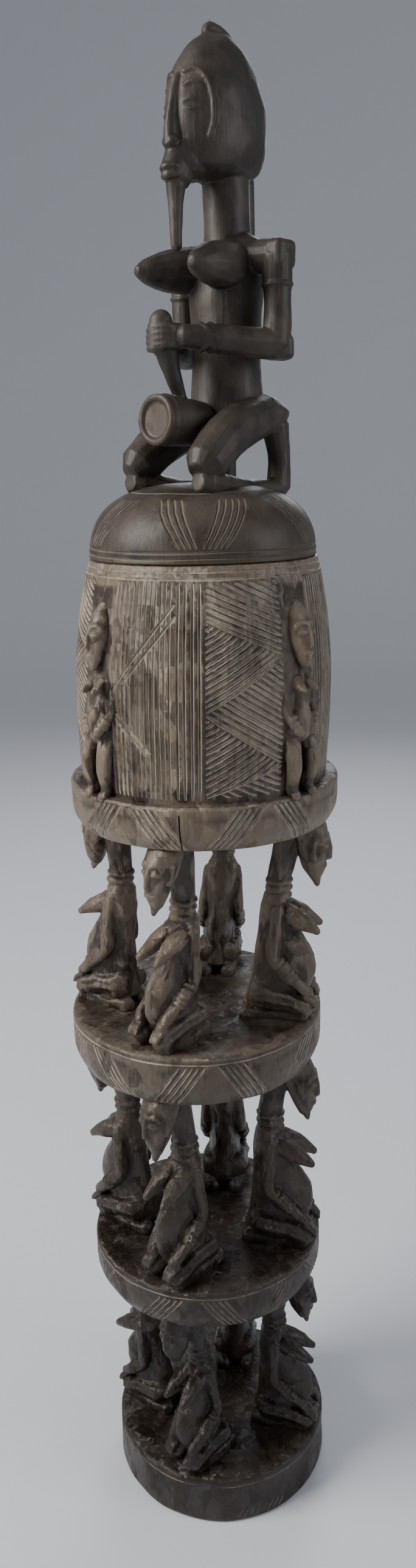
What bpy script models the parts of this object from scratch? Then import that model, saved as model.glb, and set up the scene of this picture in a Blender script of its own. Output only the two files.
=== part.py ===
"""Tall lidded container carved from a log: three rings of kneeling figures carry discs, and the
uppermost disc carries a barrel-shaped vessel with standing figures in relief. A kneeling figure
with a drum sits on the lid, which lifts off.

Metres, +Z up, origin under the middle of the foot, the figure on the lid faces -Y."""

import math

import bmesh
import bpy
from mathutils import Matrix, Vector

# Heights of the stack, from the floor up
BASE_HEIGHT = 0.052
LOW_TIER_HEIGHT = 0.1835
LOW_DISC_THICKNESS = 0.043
MIDDLE_TIER_HEIGHT = 0.1995
MIDDLE_DISC_THICKNESS = 0.0485
TOP_TIER_HEIGHT = 0.1895
TOP_DISC_THICKNESS = 0.039
VESSEL_HEIGHT = 0.192
LID_HEIGHT = 0.062
DRUMMER_HEIGHT = 0.356

# Radii of the turned-looking forms
BASE_RADIUS = 0.1085
LOW_DISC_RADIUS = 0.1142
MIDDLE_DISC_RADIUS = 0.1195
TOP_DISC_RADIUS = 0.1214
VESSEL_SET_BACK = 0.0109
VESSEL_FOOT_RADIUS = TOP_DISC_RADIUS - VESSEL_SET_BACK
VESSEL_BELLY_SWELL = 0.0030
VESSEL_BELLY_RADIUS = VESSEL_FOOT_RADIUS + VESSEL_BELLY_SWELL
VESSEL_BELLY_AT = 0.4
VESSEL_MOUTH_RADIUS = 0.0995
LID_SET_BACK = 0.0015
LID_RADIUS = VESSEL_MOUTH_RADIUS - LID_SET_BACK

# Walls, seats and clearances
VESSEL_WALL = 0.013
VESSEL_FLOOR = 0.014
VESSEL_FLOOR_ROUND = 0.004
LID_WALL = 0.016
SPIGOT_DEPTH = 0.010
SPIGOT_WALL = 0.009
SPIGOT_CLEARANCE = 0.0015
SEAT_GAP = 0.0003
RIM_ROUND = 0.004
RIM_UNDERCUT = 0.007
RIM_BELLY_AT = 0.4
LID_HOLLOW_CROWN = 0.45
LID_HOLLOW_HAUNCH = 0.80
LID_HOLLOW_HAUNCH_AT = 0.75

# How far each level was carved off the plumb line, to the front and to the drummer's right
LOW_DISC_SHIFT = 0.0100
MIDDLE_DISC_SHIFT = 0.0155
TOP_DISC_SHIFT = 0.0033
SHIFT_DIRECTION = Vector((-math.sqrt(0.5), -math.sqrt(0.5), 0))

# Where the carved figures stand
TIER_PLACES = (31, 113, 209, 312)
TIER_TWISTS = (-32, 12, 10, -35)
FIGURE_INSET = 0.041
FIGURE_SINK = 0.004
RELIEF_PLACES = (-6, 90, 178, 266)
RELIEF_HEIGHT = VESSEL_HEIGHT * 0.865
RELIEF_SINK = 0.003
DRUMMER_SINK = 0.008

# How finely the solids are faceted
TURNED_SEGMENTS = 32
CARYATID_TRIANGLES = 320
RELIEF_TRIANGLES = 190
DRUMMER_TRIANGLES = 1250
CARYATID_GRAIN = 0.014
DRUMMER_GRAIN = 0.010
SOFTENING_PASSES = 2
CAP_SHARE = 0.55

WOOD = (0.080, 0.062, 0.050, 1)
LID_WOOD = (0.050, 0.042, 0.036, 1)

FRONT = Vector((0, -1, 0))
SIDE = Vector((1, 0, 0))
UP = Vector((0, 0, 1))


def clear_scene():
    for obj in list(bpy.data.objects):
        bpy.data.objects.remove(obj, do_unlink=True)


def wood(name, colour, roughness):
    material = bpy.data.materials.new(name)
    material.use_nodes = True
    shader = material.node_tree.nodes["Principled BSDF"]
    shader.inputs["Base Color"].default_value = colour
    shader.inputs["Roughness"].default_value = roughness
    shader.inputs["Metallic"].default_value = 0.0
    return material


def place(side, forward, up):
    """A point of a figure from its own side, forward and up."""
    return SIDE * side + FRONT * forward + UP * up


# Forms that a figure is put together from


def add_rings(bm, rings):
    """A closed skin over rings of points, with a flat face at either end."""
    loops = [[bm.verts.new(point) for point in ring] for ring in rings]
    count = len(loops[0])
    for lower, upper in zip(loops, loops[1:]):
        for i in range(count):
            j = (i + 1) % count
            bm.faces.new((lower[i], lower[j], upper[j], upper[i]))
    bm.faces.new(reversed(loops[0]))
    bm.faces.new(loops[-1])


def ring_at(centre, along, half_side, half_depth, sides):
    """An oval ring across the direction along, its first axis as near to sideways as it goes."""
    guide = SIDE if abs(along.dot(SIDE)) < 0.9 else UP
    across = (guide - along * guide.dot(along)).normalized()
    over = along.cross(across)
    return [
        centre
        + across * (half_side * math.cos(math.tau * i / sides))
        + over * (half_depth * math.sin(math.tau * i / sides))
        for i in range(sides)
    ]


def add_limb(bm, stations, sides=8, bulge=0.7):
    """A limb along stations of (centre, half side, half depth), its ends rounded by bulge."""
    points = [station[0] for station in stations]
    rings = []
    for i, (centre, half_side, half_depth) in enumerate(stations):
        before = points[max(i - 1, 0)]
        after = points[min(i + 1, len(points) - 1)]
        along = (after - before).normalized()
        rings.append(ring_at(centre, along, half_side, half_depth, sides))
        if i in (0, len(points) - 1):
            out = -along if i == 0 else along
            end = min(half_side, half_depth)
            tip = centre + out * end * bulge
            cap = ring_at(tip, along, half_side * CAP_SHARE, half_depth * CAP_SHARE, sides)
            rings.insert(0 if i == 0 else len(rings), cap)
    add_rings(bm, rings)


def add_upright(bm, levels, height, sides=10, bulge=0.7):
    """An upright form from levels of (up, forward, half depth, half width), as shares of height."""
    add_limb(
        bm,
        [
            (place(0, forward * height, up * height), width * height, depth * height)
            for up, forward, depth, width in levels
        ],
        sides,
        bulge,
    )


def add_pair(bm, joints, height, sides=8):
    """A left and a right limb through joints of (side, forward, up, radius), as shares of height."""
    for hand in (1, -1):
        add_limb(
            bm,
            [
                (
                    place(hand * side * height, forward * height, up * height),
                    radius * height,
                    radius * height,
                )
                for side, forward, up, radius in joints
            ],
            sides,
        )


def carved(name, build, height, triangles, grain):
    """The forms that build adds, grown together into one skin and cut back to broad facets."""
    mesh = bpy.data.meshes.new(name)
    bm = bmesh.new()
    build(bm, height)
    bm.to_mesh(mesh)
    bm.free()
    block = bpy.data.objects.new(name, mesh)
    bpy.context.scene.collection.objects.link(block)
    grow = block.modifiers.new("grow together", "REMESH")
    grow.mode = "VOXEL"
    grow.voxel_size = height * grain
    soften = block.modifiers.new("soften", "SMOOTH")
    soften.factor = 0.5
    soften.iterations = SOFTENING_PASSES
    grown = evaluated_mesh(block)
    grown.calc_loop_triangles()
    cut = block.modifiers.new("broad facets", "DECIMATE")
    cut.ratio = min(1.0, triangles / len(grown.loop_triangles))
    finished = evaluated_mesh(block)
    bpy.data.objects.remove(block, do_unlink=True)
    return finished


def evaluated_mesh(obj):
    bpy.context.view_layer.update()
    graph = bpy.context.evaluated_depsgraph_get()
    return bpy.data.meshes.new_from_object(obj.evaluated_get(graph))


# Kneeling figure that carries a disc on its neck and bowed head

CARYATID_TORSO = (
    (0.08, -0.010, 0.130, 0.085),
    (0.20, 0.030, 0.150, 0.074),
    (0.32, 0.030, 0.140, 0.070),
    (0.43, 0.000, 0.100, 0.068),
    (0.52, -0.020, 0.080, 0.078),
    (0.60, -0.025, 0.062, 0.072),
)
CARYATID_NECK = (
    (0.56, -0.022, 0.060, 0.055),
    (0.70, -0.018, 0.058, 0.052),
    (0.82, 0.000, 0.060, 0.053),
    (0.92, 0.015, 0.070, 0.057),
    (1.02, 0.025, 0.085, 0.066),
)
CARYATID_HEAD = (
    (0.705, 0.142, 0.034, 0.030),
    (0.750, 0.138, 0.053, 0.048),
    (0.815, 0.129, 0.069, 0.069),
    (0.880, 0.116, 0.081, 0.079),
    (0.950, 0.094, 0.085, 0.078),
    (1.005, 0.077, 0.080, 0.068),
)
CARYATID_BREASTS = (
    (0.035, 0.020, 0.540, 0.046),
    (0.048, 0.105, 0.500, 0.040),
    (0.058, 0.185, 0.455, 0.020),
)
CARYATID_ARMS = (
    (0.060, -0.012, 0.560, 0.034),
    (0.078, -0.015, 0.440, 0.029),
    (0.086, -0.015, 0.325, 0.031),
    (0.086, 0.085, 0.225, 0.029),
    (0.070, 0.170, 0.145, 0.028),
)
CARYATID_THIGHS = (
    (0.055, -0.080, 0.130, 0.062),
    (0.062, 0.050, 0.110, 0.052),
    (0.066, 0.160, 0.075, 0.046),
)
CARYATID_SHINS = (
    (0.068, 0.145, 0.035, 0.038),
    (0.066, 0.010, 0.028, 0.034),
    (0.060, -0.130, 0.040, 0.040),
)


def build_caryatid(bm, height):
    add_upright(bm, CARYATID_TORSO, height)
    add_upright(bm, CARYATID_NECK, height, sides=8)
    add_upright(bm, CARYATID_HEAD, height)
    for joints in (CARYATID_BREASTS, CARYATID_ARMS, CARYATID_THIGHS, CARYATID_SHINS):
        add_pair(bm, joints, height)


# Standing figure in relief on the vessel's wall

RELIEF_TORSO = (
    (0.32, 0.000, 0.062, 0.066),
    (0.42, 0.012, 0.062, 0.056),
    (0.52, 0.000, 0.050, 0.052),
    (0.62, -0.005, 0.045, 0.072),
)
RELIEF_NECK = ((0.60, -0.010, 0.045, 0.040), (0.72, -0.010, 0.050, 0.040))
RELIEF_HEAD = (
    (0.670, 0.055, 0.025, 0.022),
    (0.740, 0.032, 0.060, 0.052),
    (0.830, 0.012, 0.078, 0.068),
    (0.920, -0.008, 0.070, 0.062),
    (0.975, -0.020, 0.045, 0.042),
)
RELIEF_LEGS = (
    (0.050, -0.010, 0.350, 0.050),
    (0.068, 0.032, 0.190, 0.042),
    (0.060, 0.005, 0.060, 0.034),
    (0.060, 0.030, 0.010, 0.034),
)
RELIEF_ARMS = (
    (0.080, -0.010, 0.620, 0.034),
    (0.098, 0.005, 0.470, 0.028),
    (0.050, 0.062, 0.345, 0.030),
)
RELIEF_BREASTS = ((0.035, 0.020, 0.595, 0.036), (0.046, 0.088, 0.560, 0.020))


def build_relief(bm, height):
    add_upright(bm, RELIEF_TORSO, height, sides=8)
    add_upright(bm, RELIEF_NECK, height, sides=6)
    add_upright(bm, RELIEF_HEAD, height, sides=8)
    for joints in (RELIEF_LEGS, RELIEF_ARMS, RELIEF_BREASTS):
        add_pair(bm, joints, height, sides=6)


# Kneeling drummer on the lid, with a beater held in both hands

DRUMMER_TORSO = (
    (0.160, -0.100, 0.092, 0.106),
    (0.205, -0.095, 0.086, 0.092),
    (0.310, -0.093, 0.078, 0.083),
    (0.440, -0.096, 0.085, 0.091),
    (0.515, -0.105, 0.074, 0.105),
    (0.552, -0.108, 0.050, 0.100),
)
DRUMMER_SEAT = (
    (0.150, -0.150, 0.080, 0.112),
    (0.180, -0.155, 0.086, 0.125),
    (0.208, -0.145, 0.064, 0.105),
)
DRUMMER_NECK = (
    (0.530, -0.104, 0.057, 0.057),
    (0.620, -0.102, 0.055, 0.054),
    (0.720, -0.097, 0.057, 0.056),
)
DRUMMER_HEAD = (
    (0.690, -0.066, 0.102, 0.056),
    (0.708, -0.069, 0.122, 0.078),
    (0.755, -0.072, 0.132, 0.092),
    (0.830, -0.072, 0.130, 0.092),
    (0.890, -0.070, 0.110, 0.080),
    (0.937, -0.070, 0.080, 0.059),
    (0.968, -0.074, 0.046, 0.031),
)
DRUMMER_JAW = (
    (0.684, 0.020, 0.050, 0.040),
    (0.705, 0.022, 0.056, 0.046),
    (0.745, 0.018, 0.050, 0.044),
)
DRUMMER_MUZZLE = (
    (0.668, 0.050, 0.030, 0.030),
    (0.690, 0.060, 0.035, 0.031),
    (0.730, 0.056, 0.024, 0.024),
)
DRUMMER_NOSE = (
    (0.736, 0.066, 0.020, 0.018),
    (0.800, 0.064, 0.015, 0.013),
    (0.870, 0.046, 0.012, 0.012),
)
DRUMMER_CREST = (
    (0.988, -0.056, 0.016, 0.014),
    (0.950, -0.130, 0.018, 0.014),
    (0.875, -0.182, 0.020, 0.015),
    (0.795, -0.200, 0.022, 0.018),
)
DRUMMER_BEARD = (
    (0.532, 0.062, 0.013, 0.013),
    (0.605, 0.062, 0.017, 0.017),
    (0.670, 0.060, 0.024, 0.024),
)
DRUMMER_PLAIT = (
    (0.545, -0.172, 0.020, 0.020),
    (0.620, -0.172, 0.020, 0.020),
    (0.715, -0.172, 0.020, 0.020),
)
DRUMMER_SHOULDERS = (
    (0.000, -0.108, 0.516, 0.036),
    (0.075, -0.108, 0.516, 0.038),
    (0.146, -0.108, 0.514, 0.037),
)
DRUMMER_ARMS = (
    (0.149, -0.108, 0.512, 0.037),
    (0.151, -0.108, 0.410, 0.032),
    (0.149, -0.104, 0.322, 0.035),
    (0.082, 0.032, 0.335, 0.030),
    (0.016, 0.118, 0.346, 0.028),
)
DRUMMER_BREASTS = (
    (0.045, -0.060, 0.500, 0.054),
    (0.070, 0.020, 0.494, 0.046),
    (0.085, 0.082, 0.490, 0.030),
)
DRUMMER_THIGHS = (
    (0.075, -0.145, 0.176, 0.048),
    (0.098, 0.000, 0.132, 0.054),
    (0.112, 0.100, 0.062, 0.050),
)
DRUMMER_SHINS = (
    (0.113, 0.105, 0.022, 0.036),
    (0.105, -0.030, 0.005, 0.024),
    (0.095, -0.165, 0.000, 0.026),
)
DRUMMER_FEET = (
    (0.092, -0.175, 0.004, 0.030),
    (0.090, -0.180, 0.080, 0.028),
    (0.085, -0.170, 0.150, 0.034),
)
DRUM = (
    (0.000, 0.155, 0.050),
    (0.080, 0.160, 0.054),
    (0.142, 0.163, 0.056),
)
BEATER = (
    (0.058, 0.200, 0.014),
    (0.082, 0.255, 0.017),
    (0.100, 0.305, 0.026),
    (0.115, 0.342, 0.032),
    (0.120, 0.372, 0.027),
)


def build_drummer(bm, height):
    for levels, bulge in (
        (DRUMMER_TORSO, 0.4),
        (DRUMMER_SEAT, 0.3),
        (DRUMMER_NECK, 0.3),
        (DRUMMER_HEAD, 0.2),
        (DRUMMER_JAW, 0.3),
        (DRUMMER_MUZZLE, 0.7),
        (DRUMMER_NOSE, 0.7),
        (DRUMMER_CREST, 0.7),
        (DRUMMER_BEARD, 0.7),
        (DRUMMER_PLAIT, 0.7),
    ):
        add_upright(bm, levels, height, bulge=bulge)
    for joints in (
        DRUMMER_SHOULDERS,
        DRUMMER_ARMS,
        DRUMMER_BREASTS,
        DRUMMER_THIGHS,
        DRUMMER_SHINS,
        DRUMMER_FEET,
    ):
        add_pair(bm, joints, height)
    for held, bulge in ((DRUM, 0.1), (BEATER, 0.7)):
        stations = [
            (place(0, forward * height, up * height), radius * height, radius * height)
            for forward, up, radius in held
        ]
        add_limb(bm, stations, sides=12, bulge=bulge)


# Turned forms


def turned(name, profile, centre, lean=Vector((0, 0, 0)), level=0.0):
    """A solid of revolution from (radius, height) points that run from the axis underneath to
    the axis on top. Its axis passes through centre at the height level and leans by lean."""
    mesh = bpy.data.meshes.new(name)
    bm = bmesh.new()
    rings = []
    for radius, height in profile:
        middle = centre + lean * (height - level) + UP * height
        turns = (math.tau * i / TURNED_SEGMENTS for i in range(TURNED_SEGMENTS))
        rings.append([middle + Vector((math.cos(t), math.sin(t), 0)) * radius for t in turns])
    add_rings(bm, rings)
    bm.to_mesh(mesh)
    bm.free()
    obj = bpy.data.objects.new(name, mesh)
    bpy.context.scene.collection.objects.link(obj)
    return obj


def disc_profile(radius, bottom, top):
    """A disc whose rim is rounded above and curves in below."""
    belly = bottom + (top - bottom) * RIM_BELLY_AT
    return [
        (radius - RIM_UNDERCUT, bottom),
        (radius, belly),
        (radius, top - RIM_ROUND),
        (radius - RIM_ROUND, top),
    ]


def vessel_radius(share):
    """Outer radius of the vessel at a share of its height, on an arc through foot, belly and mouth."""
    foot, belly, mouth = VESSEL_FOOT_RADIUS, VESSEL_BELLY_RADIUS, VESSEL_MOUTH_RADIUS
    widest = VESSEL_BELLY_AT
    if share < widest:
        return belly - (belly - foot) * (1 - share / widest) ** 2
    return belly - (belly - mouth) * ((share - widest) / (1 - widest)) ** 2


def vessel_profile(bottom, top, disc_bottom):
    """The uppermost disc with the hollow vessel on it, down the outside and up the inside."""
    rise = top - bottom
    outside = [(vessel_radius(i / 5), bottom + rise * i / 5) for i in range(6)]
    inside = [(vessel_radius(i / 5) - VESSEL_WALL, bottom + rise * i / 5) for i in (5, 3, 1)]
    floor_radius = vessel_radius(0) - VESSEL_WALL - VESSEL_FLOOR_ROUND
    rim = disc_profile(TOP_DISC_RADIUS, disc_bottom, bottom)
    return [*rim, *outside, *inside, (floor_radius, bottom + VESSEL_FLOOR)]


def lid_radius(share):
    """Outer radius of the lid at a share of its height: nearly upright first, then a dome."""
    return LID_RADIUS * (1 - share**2.5) ** 0.36


def lid_profile(seat):
    """A domed lid, hollow underneath, with a spigot that drops inside the vessel's mouth."""
    spigot = VESSEL_MOUTH_RADIUS - VESSEL_WALL - SPIGOT_CLEARANCE
    bore = spigot - SPIGOT_WALL
    hollow = LID_HEIGHT - LID_WALL
    under = [
        (bore * LID_HOLLOW_CROWN, seat + hollow),
        (bore * LID_HOLLOW_HAUNCH, seat + hollow * LID_HOLLOW_HAUNCH_AT),
        (bore, seat),
        (bore, seat - SPIGOT_DEPTH),
        (spigot, seat - SPIGOT_DEPTH),
        (spigot, seat),
    ]
    shares = (0.0, 0.22, 0.42, 0.60, 0.76, 0.88, 0.96, 0.99)
    outside = [(lid_radius(share), seat + LID_HEIGHT * share) for share in shares]
    return [*under, *outside]


# Putting the pieces together


def helper(name, mesh, matrix, group):
    """A guide that is joined into a piece and isn't one itself. The matrix goes into a mesh of its
    own, since it may lean and an object's rotation and scale can't hold a lean."""
    shape = mesh.copy()
    shape.transform(matrix)
    obj = bpy.data.objects.new(name, shape)
    obj.hide_render = True
    obj.display_type = "WIRE"
    group.objects.link(obj)
    return obj


def as_guide(obj, group):
    """Moves a turned form from the scene to the guides."""
    bpy.context.scene.collection.objects.unlink(obj)
    obj.hide_render = True
    obj.display_type = "WIRE"
    group.objects.link(obj)


def shear_between(low, high, height):
    """Leans a figure so that its foot stands at low and its head reaches over high."""
    lean = Matrix.Identity(4)
    lean[0][2] = (high.x - low.x) / height
    lean[1][2] = (high.y - low.y) / height
    return lean


def add_tier(group, name, low, high, low_radius, high_radius):
    """A ring of kneeling figures between the disc under low and the one over high."""
    height = high.z - low.z + FIGURE_SINK
    mesh = carved(name, build_caryatid, height, CARYATID_TRIANGLES, CARYATID_GRAIN)
    for place_turn, twist in zip(TIER_PLACES, TIER_TWISTS):
        turn = Matrix.Rotation(math.radians(place_turn), 4, "Z")
        facing = Matrix.Rotation(math.radians(place_turn + twist), 4, "Z")
        out = turn.to_3x3() @ FRONT
        foot = low + out * (low_radius - FIGURE_INSET)
        crown = high + out * (high_radius - FIGURE_INSET)
        foot.z -= FIGURE_SINK
        matrix = Matrix.Translation(foot) @ shear_between(foot, crown, height) @ facing
        helper(f"{name}_{place_turn}", mesh, matrix, group)


def add_reliefs(group, centre, lean, top_of_disc):
    """Standing figures half sunk in the vessel's wall, their feet on the disc."""
    mesh = carved("relief", build_relief, RELIEF_HEIGHT, RELIEF_TRIANGLES, CARYATID_GRAIN)
    for place_turn in RELIEF_PLACES:
        turn = Matrix.Rotation(math.radians(place_turn), 4, "Z")
        out = turn.to_3x3() @ FRONT
        foot = centre + out * (vessel_radius(0) + RELIEF_SINK)
        foot.z = top_of_disc - RELIEF_SINK
        crown = centre + lean * RELIEF_HEIGHT
        crown += out * vessel_radius(RELIEF_HEIGHT / VESSEL_HEIGHT)
        matrix = Matrix.Translation(foot) @ shear_between(foot, crown, RELIEF_HEIGHT) @ turn
        helper(f"relief_{place_turn}", mesh, matrix, group)


def join_group(obj, group):
    union = obj.modifiers.new("grown from one log", "BOOLEAN")
    union.operation = "UNION"
    union.operand_type = "COLLECTION"
    union.collection = group
    union.solver = "EXACT"


def guides(name):
    group = bpy.data.collections.new(name)
    bpy.context.scene.collection.children.link(group)
    return group


def build_column():
    """The log: foot, three tiers, discs and vessel. Returns the level of the vessel's mouth."""
    group = guides("column guides")
    base_top = BASE_HEIGHT
    low_bottom = base_top + LOW_TIER_HEIGHT
    low_top = low_bottom + LOW_DISC_THICKNESS
    middle_bottom = low_top + MIDDLE_TIER_HEIGHT
    middle_top = middle_bottom + MIDDLE_DISC_THICKNESS
    top_bottom = middle_top + TOP_TIER_HEIGHT
    top_top = top_bottom + TOP_DISC_THICKNESS
    mouth = top_top + VESSEL_HEIGHT
    shifts = (0, LOW_DISC_SHIFT, MIDDLE_DISC_SHIFT, TOP_DISC_SHIFT)
    axis = [SHIFT_DIRECTION * shift for shift in shifts]
    radii = (BASE_RADIUS, LOW_DISC_RADIUS, MIDDLE_DISC_RADIUS, TOP_DISC_RADIUS)
    tops = (base_top, low_top, middle_top)
    bottoms = (low_bottom, middle_bottom, top_bottom)
    names = ("low_tier", "middle_tier", "top_tier")

    base = [
        (BASE_RADIUS - RIM_ROUND, 0),
        (BASE_RADIUS, RIM_ROUND),
        (BASE_RADIUS, base_top - RIM_ROUND),
        (BASE_RADIUS - RIM_ROUND, base_top),
    ]
    column = turned("carved_column", base, axis[0])
    for i, (bottom, top) in enumerate(((low_bottom, low_top), (middle_bottom, middle_top)), start=1):
        disc = turned(f"disc_{i}", disc_profile(radii[i], bottom, top), axis[i])
        as_guide(disc, group)
    # The vessel leans back so that its mouth is plumb over the foot
    lean = -axis[3] / VESSEL_HEIGHT
    upper = vessel_profile(top_top, mouth, top_bottom)
    vessel = turned("vessel", upper, axis[3], lean, top_top)
    as_guide(vessel, group)
    for i, name in enumerate(names):
        low = axis[i] + UP * tops[i]
        high = axis[i + 1] + UP * (bottoms[i] + FIGURE_SINK)
        add_tier(group, name, low, high, radii[i], radii[i + 1])
    add_reliefs(group, axis[3], lean, top_top)
    join_group(column, group)
    column.data.materials.append(wood("blackened wood", WOOD, 0.5))
    return UP * mouth


def build_lid(mouth):
    """The lid with its kneeling drummer, carved from one block."""
    group = guides("lid guides")
    lid = turned("lid_with_drummer", lid_profile(SEAT_GAP), Vector((0, 0, 0)))
    lid.location = mouth
    mesh = carved("drummer", build_drummer, DRUMMER_HEIGHT, DRUMMER_TRIANGLES, DRUMMER_GRAIN)
    knees = mouth + UP * (SEAT_GAP + LID_HEIGHT - DRUMMER_SINK)
    helper("drummer_guide", mesh, Matrix.Translation(knees), group)
    join_group(lid, group)
    lid.data.materials.append(wood("polished blackened wood", LID_WOOD, 0.42))


def main():
    clear_scene()
    mouth = build_column()
    build_lid(mouth)


main()
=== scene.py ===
# %% [markdown]
# # A lidded container carved from one log
#
# The real object is a log about 1.36 m tall. Three rings of kneeling women carry discs, the
# uppermost disc carries a barrel with standing figures in relief, and a drummer kneels on the lid.
# In this lesson each figure is roughed out from limbs, grown into one skin, and set into the log.
# The knife lines are cut afterwards, as a carver would cut them, and the wood is finished with
# soot, oil, wear and dust, with painted shade towards the floor and a painted highlight on the
# ridges.

# %% Load the solid frame
import math
import random

import bmesh
import bpy
import numpy as np
from mathutils import Matrix, Vector


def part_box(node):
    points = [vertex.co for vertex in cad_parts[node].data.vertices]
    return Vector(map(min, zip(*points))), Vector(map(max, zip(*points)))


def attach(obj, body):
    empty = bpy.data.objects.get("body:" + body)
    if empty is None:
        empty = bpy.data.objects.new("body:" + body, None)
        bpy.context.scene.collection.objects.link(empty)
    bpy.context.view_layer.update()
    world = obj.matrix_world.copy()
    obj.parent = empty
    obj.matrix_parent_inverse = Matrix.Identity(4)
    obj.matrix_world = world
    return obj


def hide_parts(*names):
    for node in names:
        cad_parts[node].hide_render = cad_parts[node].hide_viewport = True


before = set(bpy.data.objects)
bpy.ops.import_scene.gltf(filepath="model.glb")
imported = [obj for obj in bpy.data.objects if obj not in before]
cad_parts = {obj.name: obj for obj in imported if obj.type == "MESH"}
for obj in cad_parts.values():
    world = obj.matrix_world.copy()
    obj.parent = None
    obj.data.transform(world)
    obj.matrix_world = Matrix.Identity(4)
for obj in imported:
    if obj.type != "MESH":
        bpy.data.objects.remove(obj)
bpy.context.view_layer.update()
column_low, column_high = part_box("carved_column")
lid_low, lid_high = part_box("lid_with_drummer")
random.seed(7)

# %% [markdown]
# The camera comes first, because everything is seen through one view. It stands a metre away at the
# height of the lid and looks down a little, so each disc shows as an oval that opens out towards
# the floor. The camera is turned by its right, up and backward directions, and a small roll is
# added at the end.

# %% Camera
VIEW_TURN = math.radians(45)
VIEW_DISTANCE = 1.0
VIEW_HEIGHT = 1.0254
VIEW_PITCH = math.radians(15.865)
VIEW_ROLL = math.radians(-1.26)
SENSOR = 36.0
LENS = 26.0
UP = Vector((0, 0, 1))

toward = Vector((math.sin(VIEW_TURN), -math.cos(VIEW_TURN), 0))
right = Vector((math.cos(VIEW_TURN), math.sin(VIEW_TURN), 0))
back = toward * math.cos(VIEW_PITCH) + UP * math.sin(VIEW_PITCH)
turned_axes = Matrix((right, back.cross(right), back)).transposed()
bpy.ops.object.camera_add()
camera = bpy.context.object
camera.name = "camera"
camera.data.sensor_fit = "VERTICAL"
camera.data.sensor_height = SENSOR
camera.data.sensor_width = SENSOR
camera.data.lens = LENS
standing_at = Matrix.Translation(toward * VIEW_DISTANCE + UP * VIEW_HEIGHT)
camera.matrix_world = standing_at @ turned_axes.to_4x4() @ Matrix.Rotation(VIEW_ROLL, 4, "Z")
bpy.context.scene.camera = camera
print("camera at", tuple(round(v, 3) for v in camera.location))

# %% [markdown]
# ## Tools of the workshop
#
# A modifier does its work when it is applied, and an operator acts on whatever is selected. A
# few helpers keep that in order. Deselecting everything first matters here, because the solid
# frame comes in selected.

# %% Helpers for adding, joining and applying


def only(obj):
    """Selects this object and nothing else."""
    bpy.ops.object.select_all(action="DESELECT")
    obj.select_set(True)
    bpy.context.view_layer.objects.active = obj


def added(operator, **settings):
    """The object that an operator adds, with nothing else selected."""
    bpy.ops.object.select_all(action="DESELECT")
    operator(**settings)
    return bpy.context.object


def settled(obj):
    """Moves the place, turn and size of the selected object into its mesh."""
    bpy.ops.object.transform_apply(location=True, rotation=True, scale=True)
    return obj


def applied(obj, kind, **settings):
    """Adds one modifier with these settings and applies it."""
    only(obj)
    bpy.ops.object.modifier_add(type=kind)
    modifier = obj.modifiers[-1]
    for name, value in settings.items():
        setattr(modifier, name, value)
    bpy.ops.object.modifier_apply(modifier=modifier.name)


def joined(shapes, name):
    """Joins the shapes into one object with this name."""
    only(shapes[0])
    for shape in shapes:
        shape.select_set(True)
    if len(shapes) > 1:
        bpy.ops.object.join()
    shapes[0].name = name
    return shapes[0]


def triangle_count(obj):
    obj.data.calc_loop_triangles()
    return len(obj.data.loop_triangles)


# %% [markdown]
# Wood that the knife has cut open needs to be told from the old skin later on. So every form
# gets a plain working material, the knife's wedges get another, and the Boolean carries them
# over to the faces that it makes.

# %% Helpers for uniting and cutting solid forms
uncut = bpy.data.materials.new("uncut skin")
cut_open = bpy.data.materials.new("cut open")


def faced_with(obj, material):
    obj.data.materials.clear()
    obj.data.materials.append(material)
    return obj


def combined(obj, other, operation):
    """Joins other to obj, or cuts it out of obj, and takes other away."""
    ways = {"operation": operation, "solver": "MANIFOLD", "material_mode": "TRANSFER"}
    applied(obj, "BOOLEAN", object=other, **ways)
    bpy.data.objects.remove(other, do_unlink=True)


# %% [markdown]
# A figure is drawn in its own directions: side, forward and up, all as shares of its height. A
# few stations along each limb are enough, and a Catmull-Rom line fills in the ones between, so
# the limb swells and narrows as softly as a carved one.

# %% Stations along a form


def place(side, forward, up):
    """A point of a figure, which looks along -Y."""
    return Vector((side, -forward, up))


def filled_in(stations, steps=4):
    """Stations on a smooth line through the given ones."""
    given = np.array(stations, float)
    ends = np.vstack([2 * given[0] - given[1], given, 2 * given[-1] - given[-2]])
    found = []
    for i in range(len(given) - 1):
        a, b, c, d = ends[i : i + 4]
        for t in np.arange(steps) / steps:
            cubic = -a + 3 * b - 3 * c + d
            square = 2 * a - 5 * b + 4 * c - d
            found.append(0.5 * (2 * b + (c - a) * t + square * t**2 + cubic * t**3))
    found.append(given[-1])
    return [tuple(float(x) for x in row) for row in found]


# %% [markdown]
# Torso, neck and head are built from rings. A filled circle is extruded upward ring by ring,
# and each ring is resized to the width and depth of the body there. This is the way to block
# out any form that has an axis, and the discs and the barrel are made by it too.

# %% Forms built from rings
CAP_SHARE = 0.55
CAP_REACH = 0.6


def ring_stack(rings, sides, name):
    """A closed form through rings of (centre, half width, half depth)."""
    centre, width, depth = rings[0]
    circle = {"vertices": sides, "radius": 1, "fill_type": "NGON", "location": centre}
    shape = added(bpy.ops.mesh.primitive_circle_add, **circle)
    shape.name = name
    bpy.ops.object.mode_set(mode="EDIT")
    bpy.ops.transform.resize(value=(width, depth, 1), center_override=centre)
    for after, wider, deeper in rings[1:]:
        bpy.ops.mesh.extrude_region_move(TRANSFORM_OT_translate={"value": after - centre})
        growth = (wider / width, deeper / depth, 1)
        bpy.ops.transform.resize(value=growth, center_override=after)
        centre, width, depth = after, wider, deeper
    bpy.ops.mesh.select_all(action="SELECT")
    bpy.ops.mesh.normals_make_consistent(inside=False)
    bpy.ops.object.mode_set(mode="OBJECT")
    return settled(shape)


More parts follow.
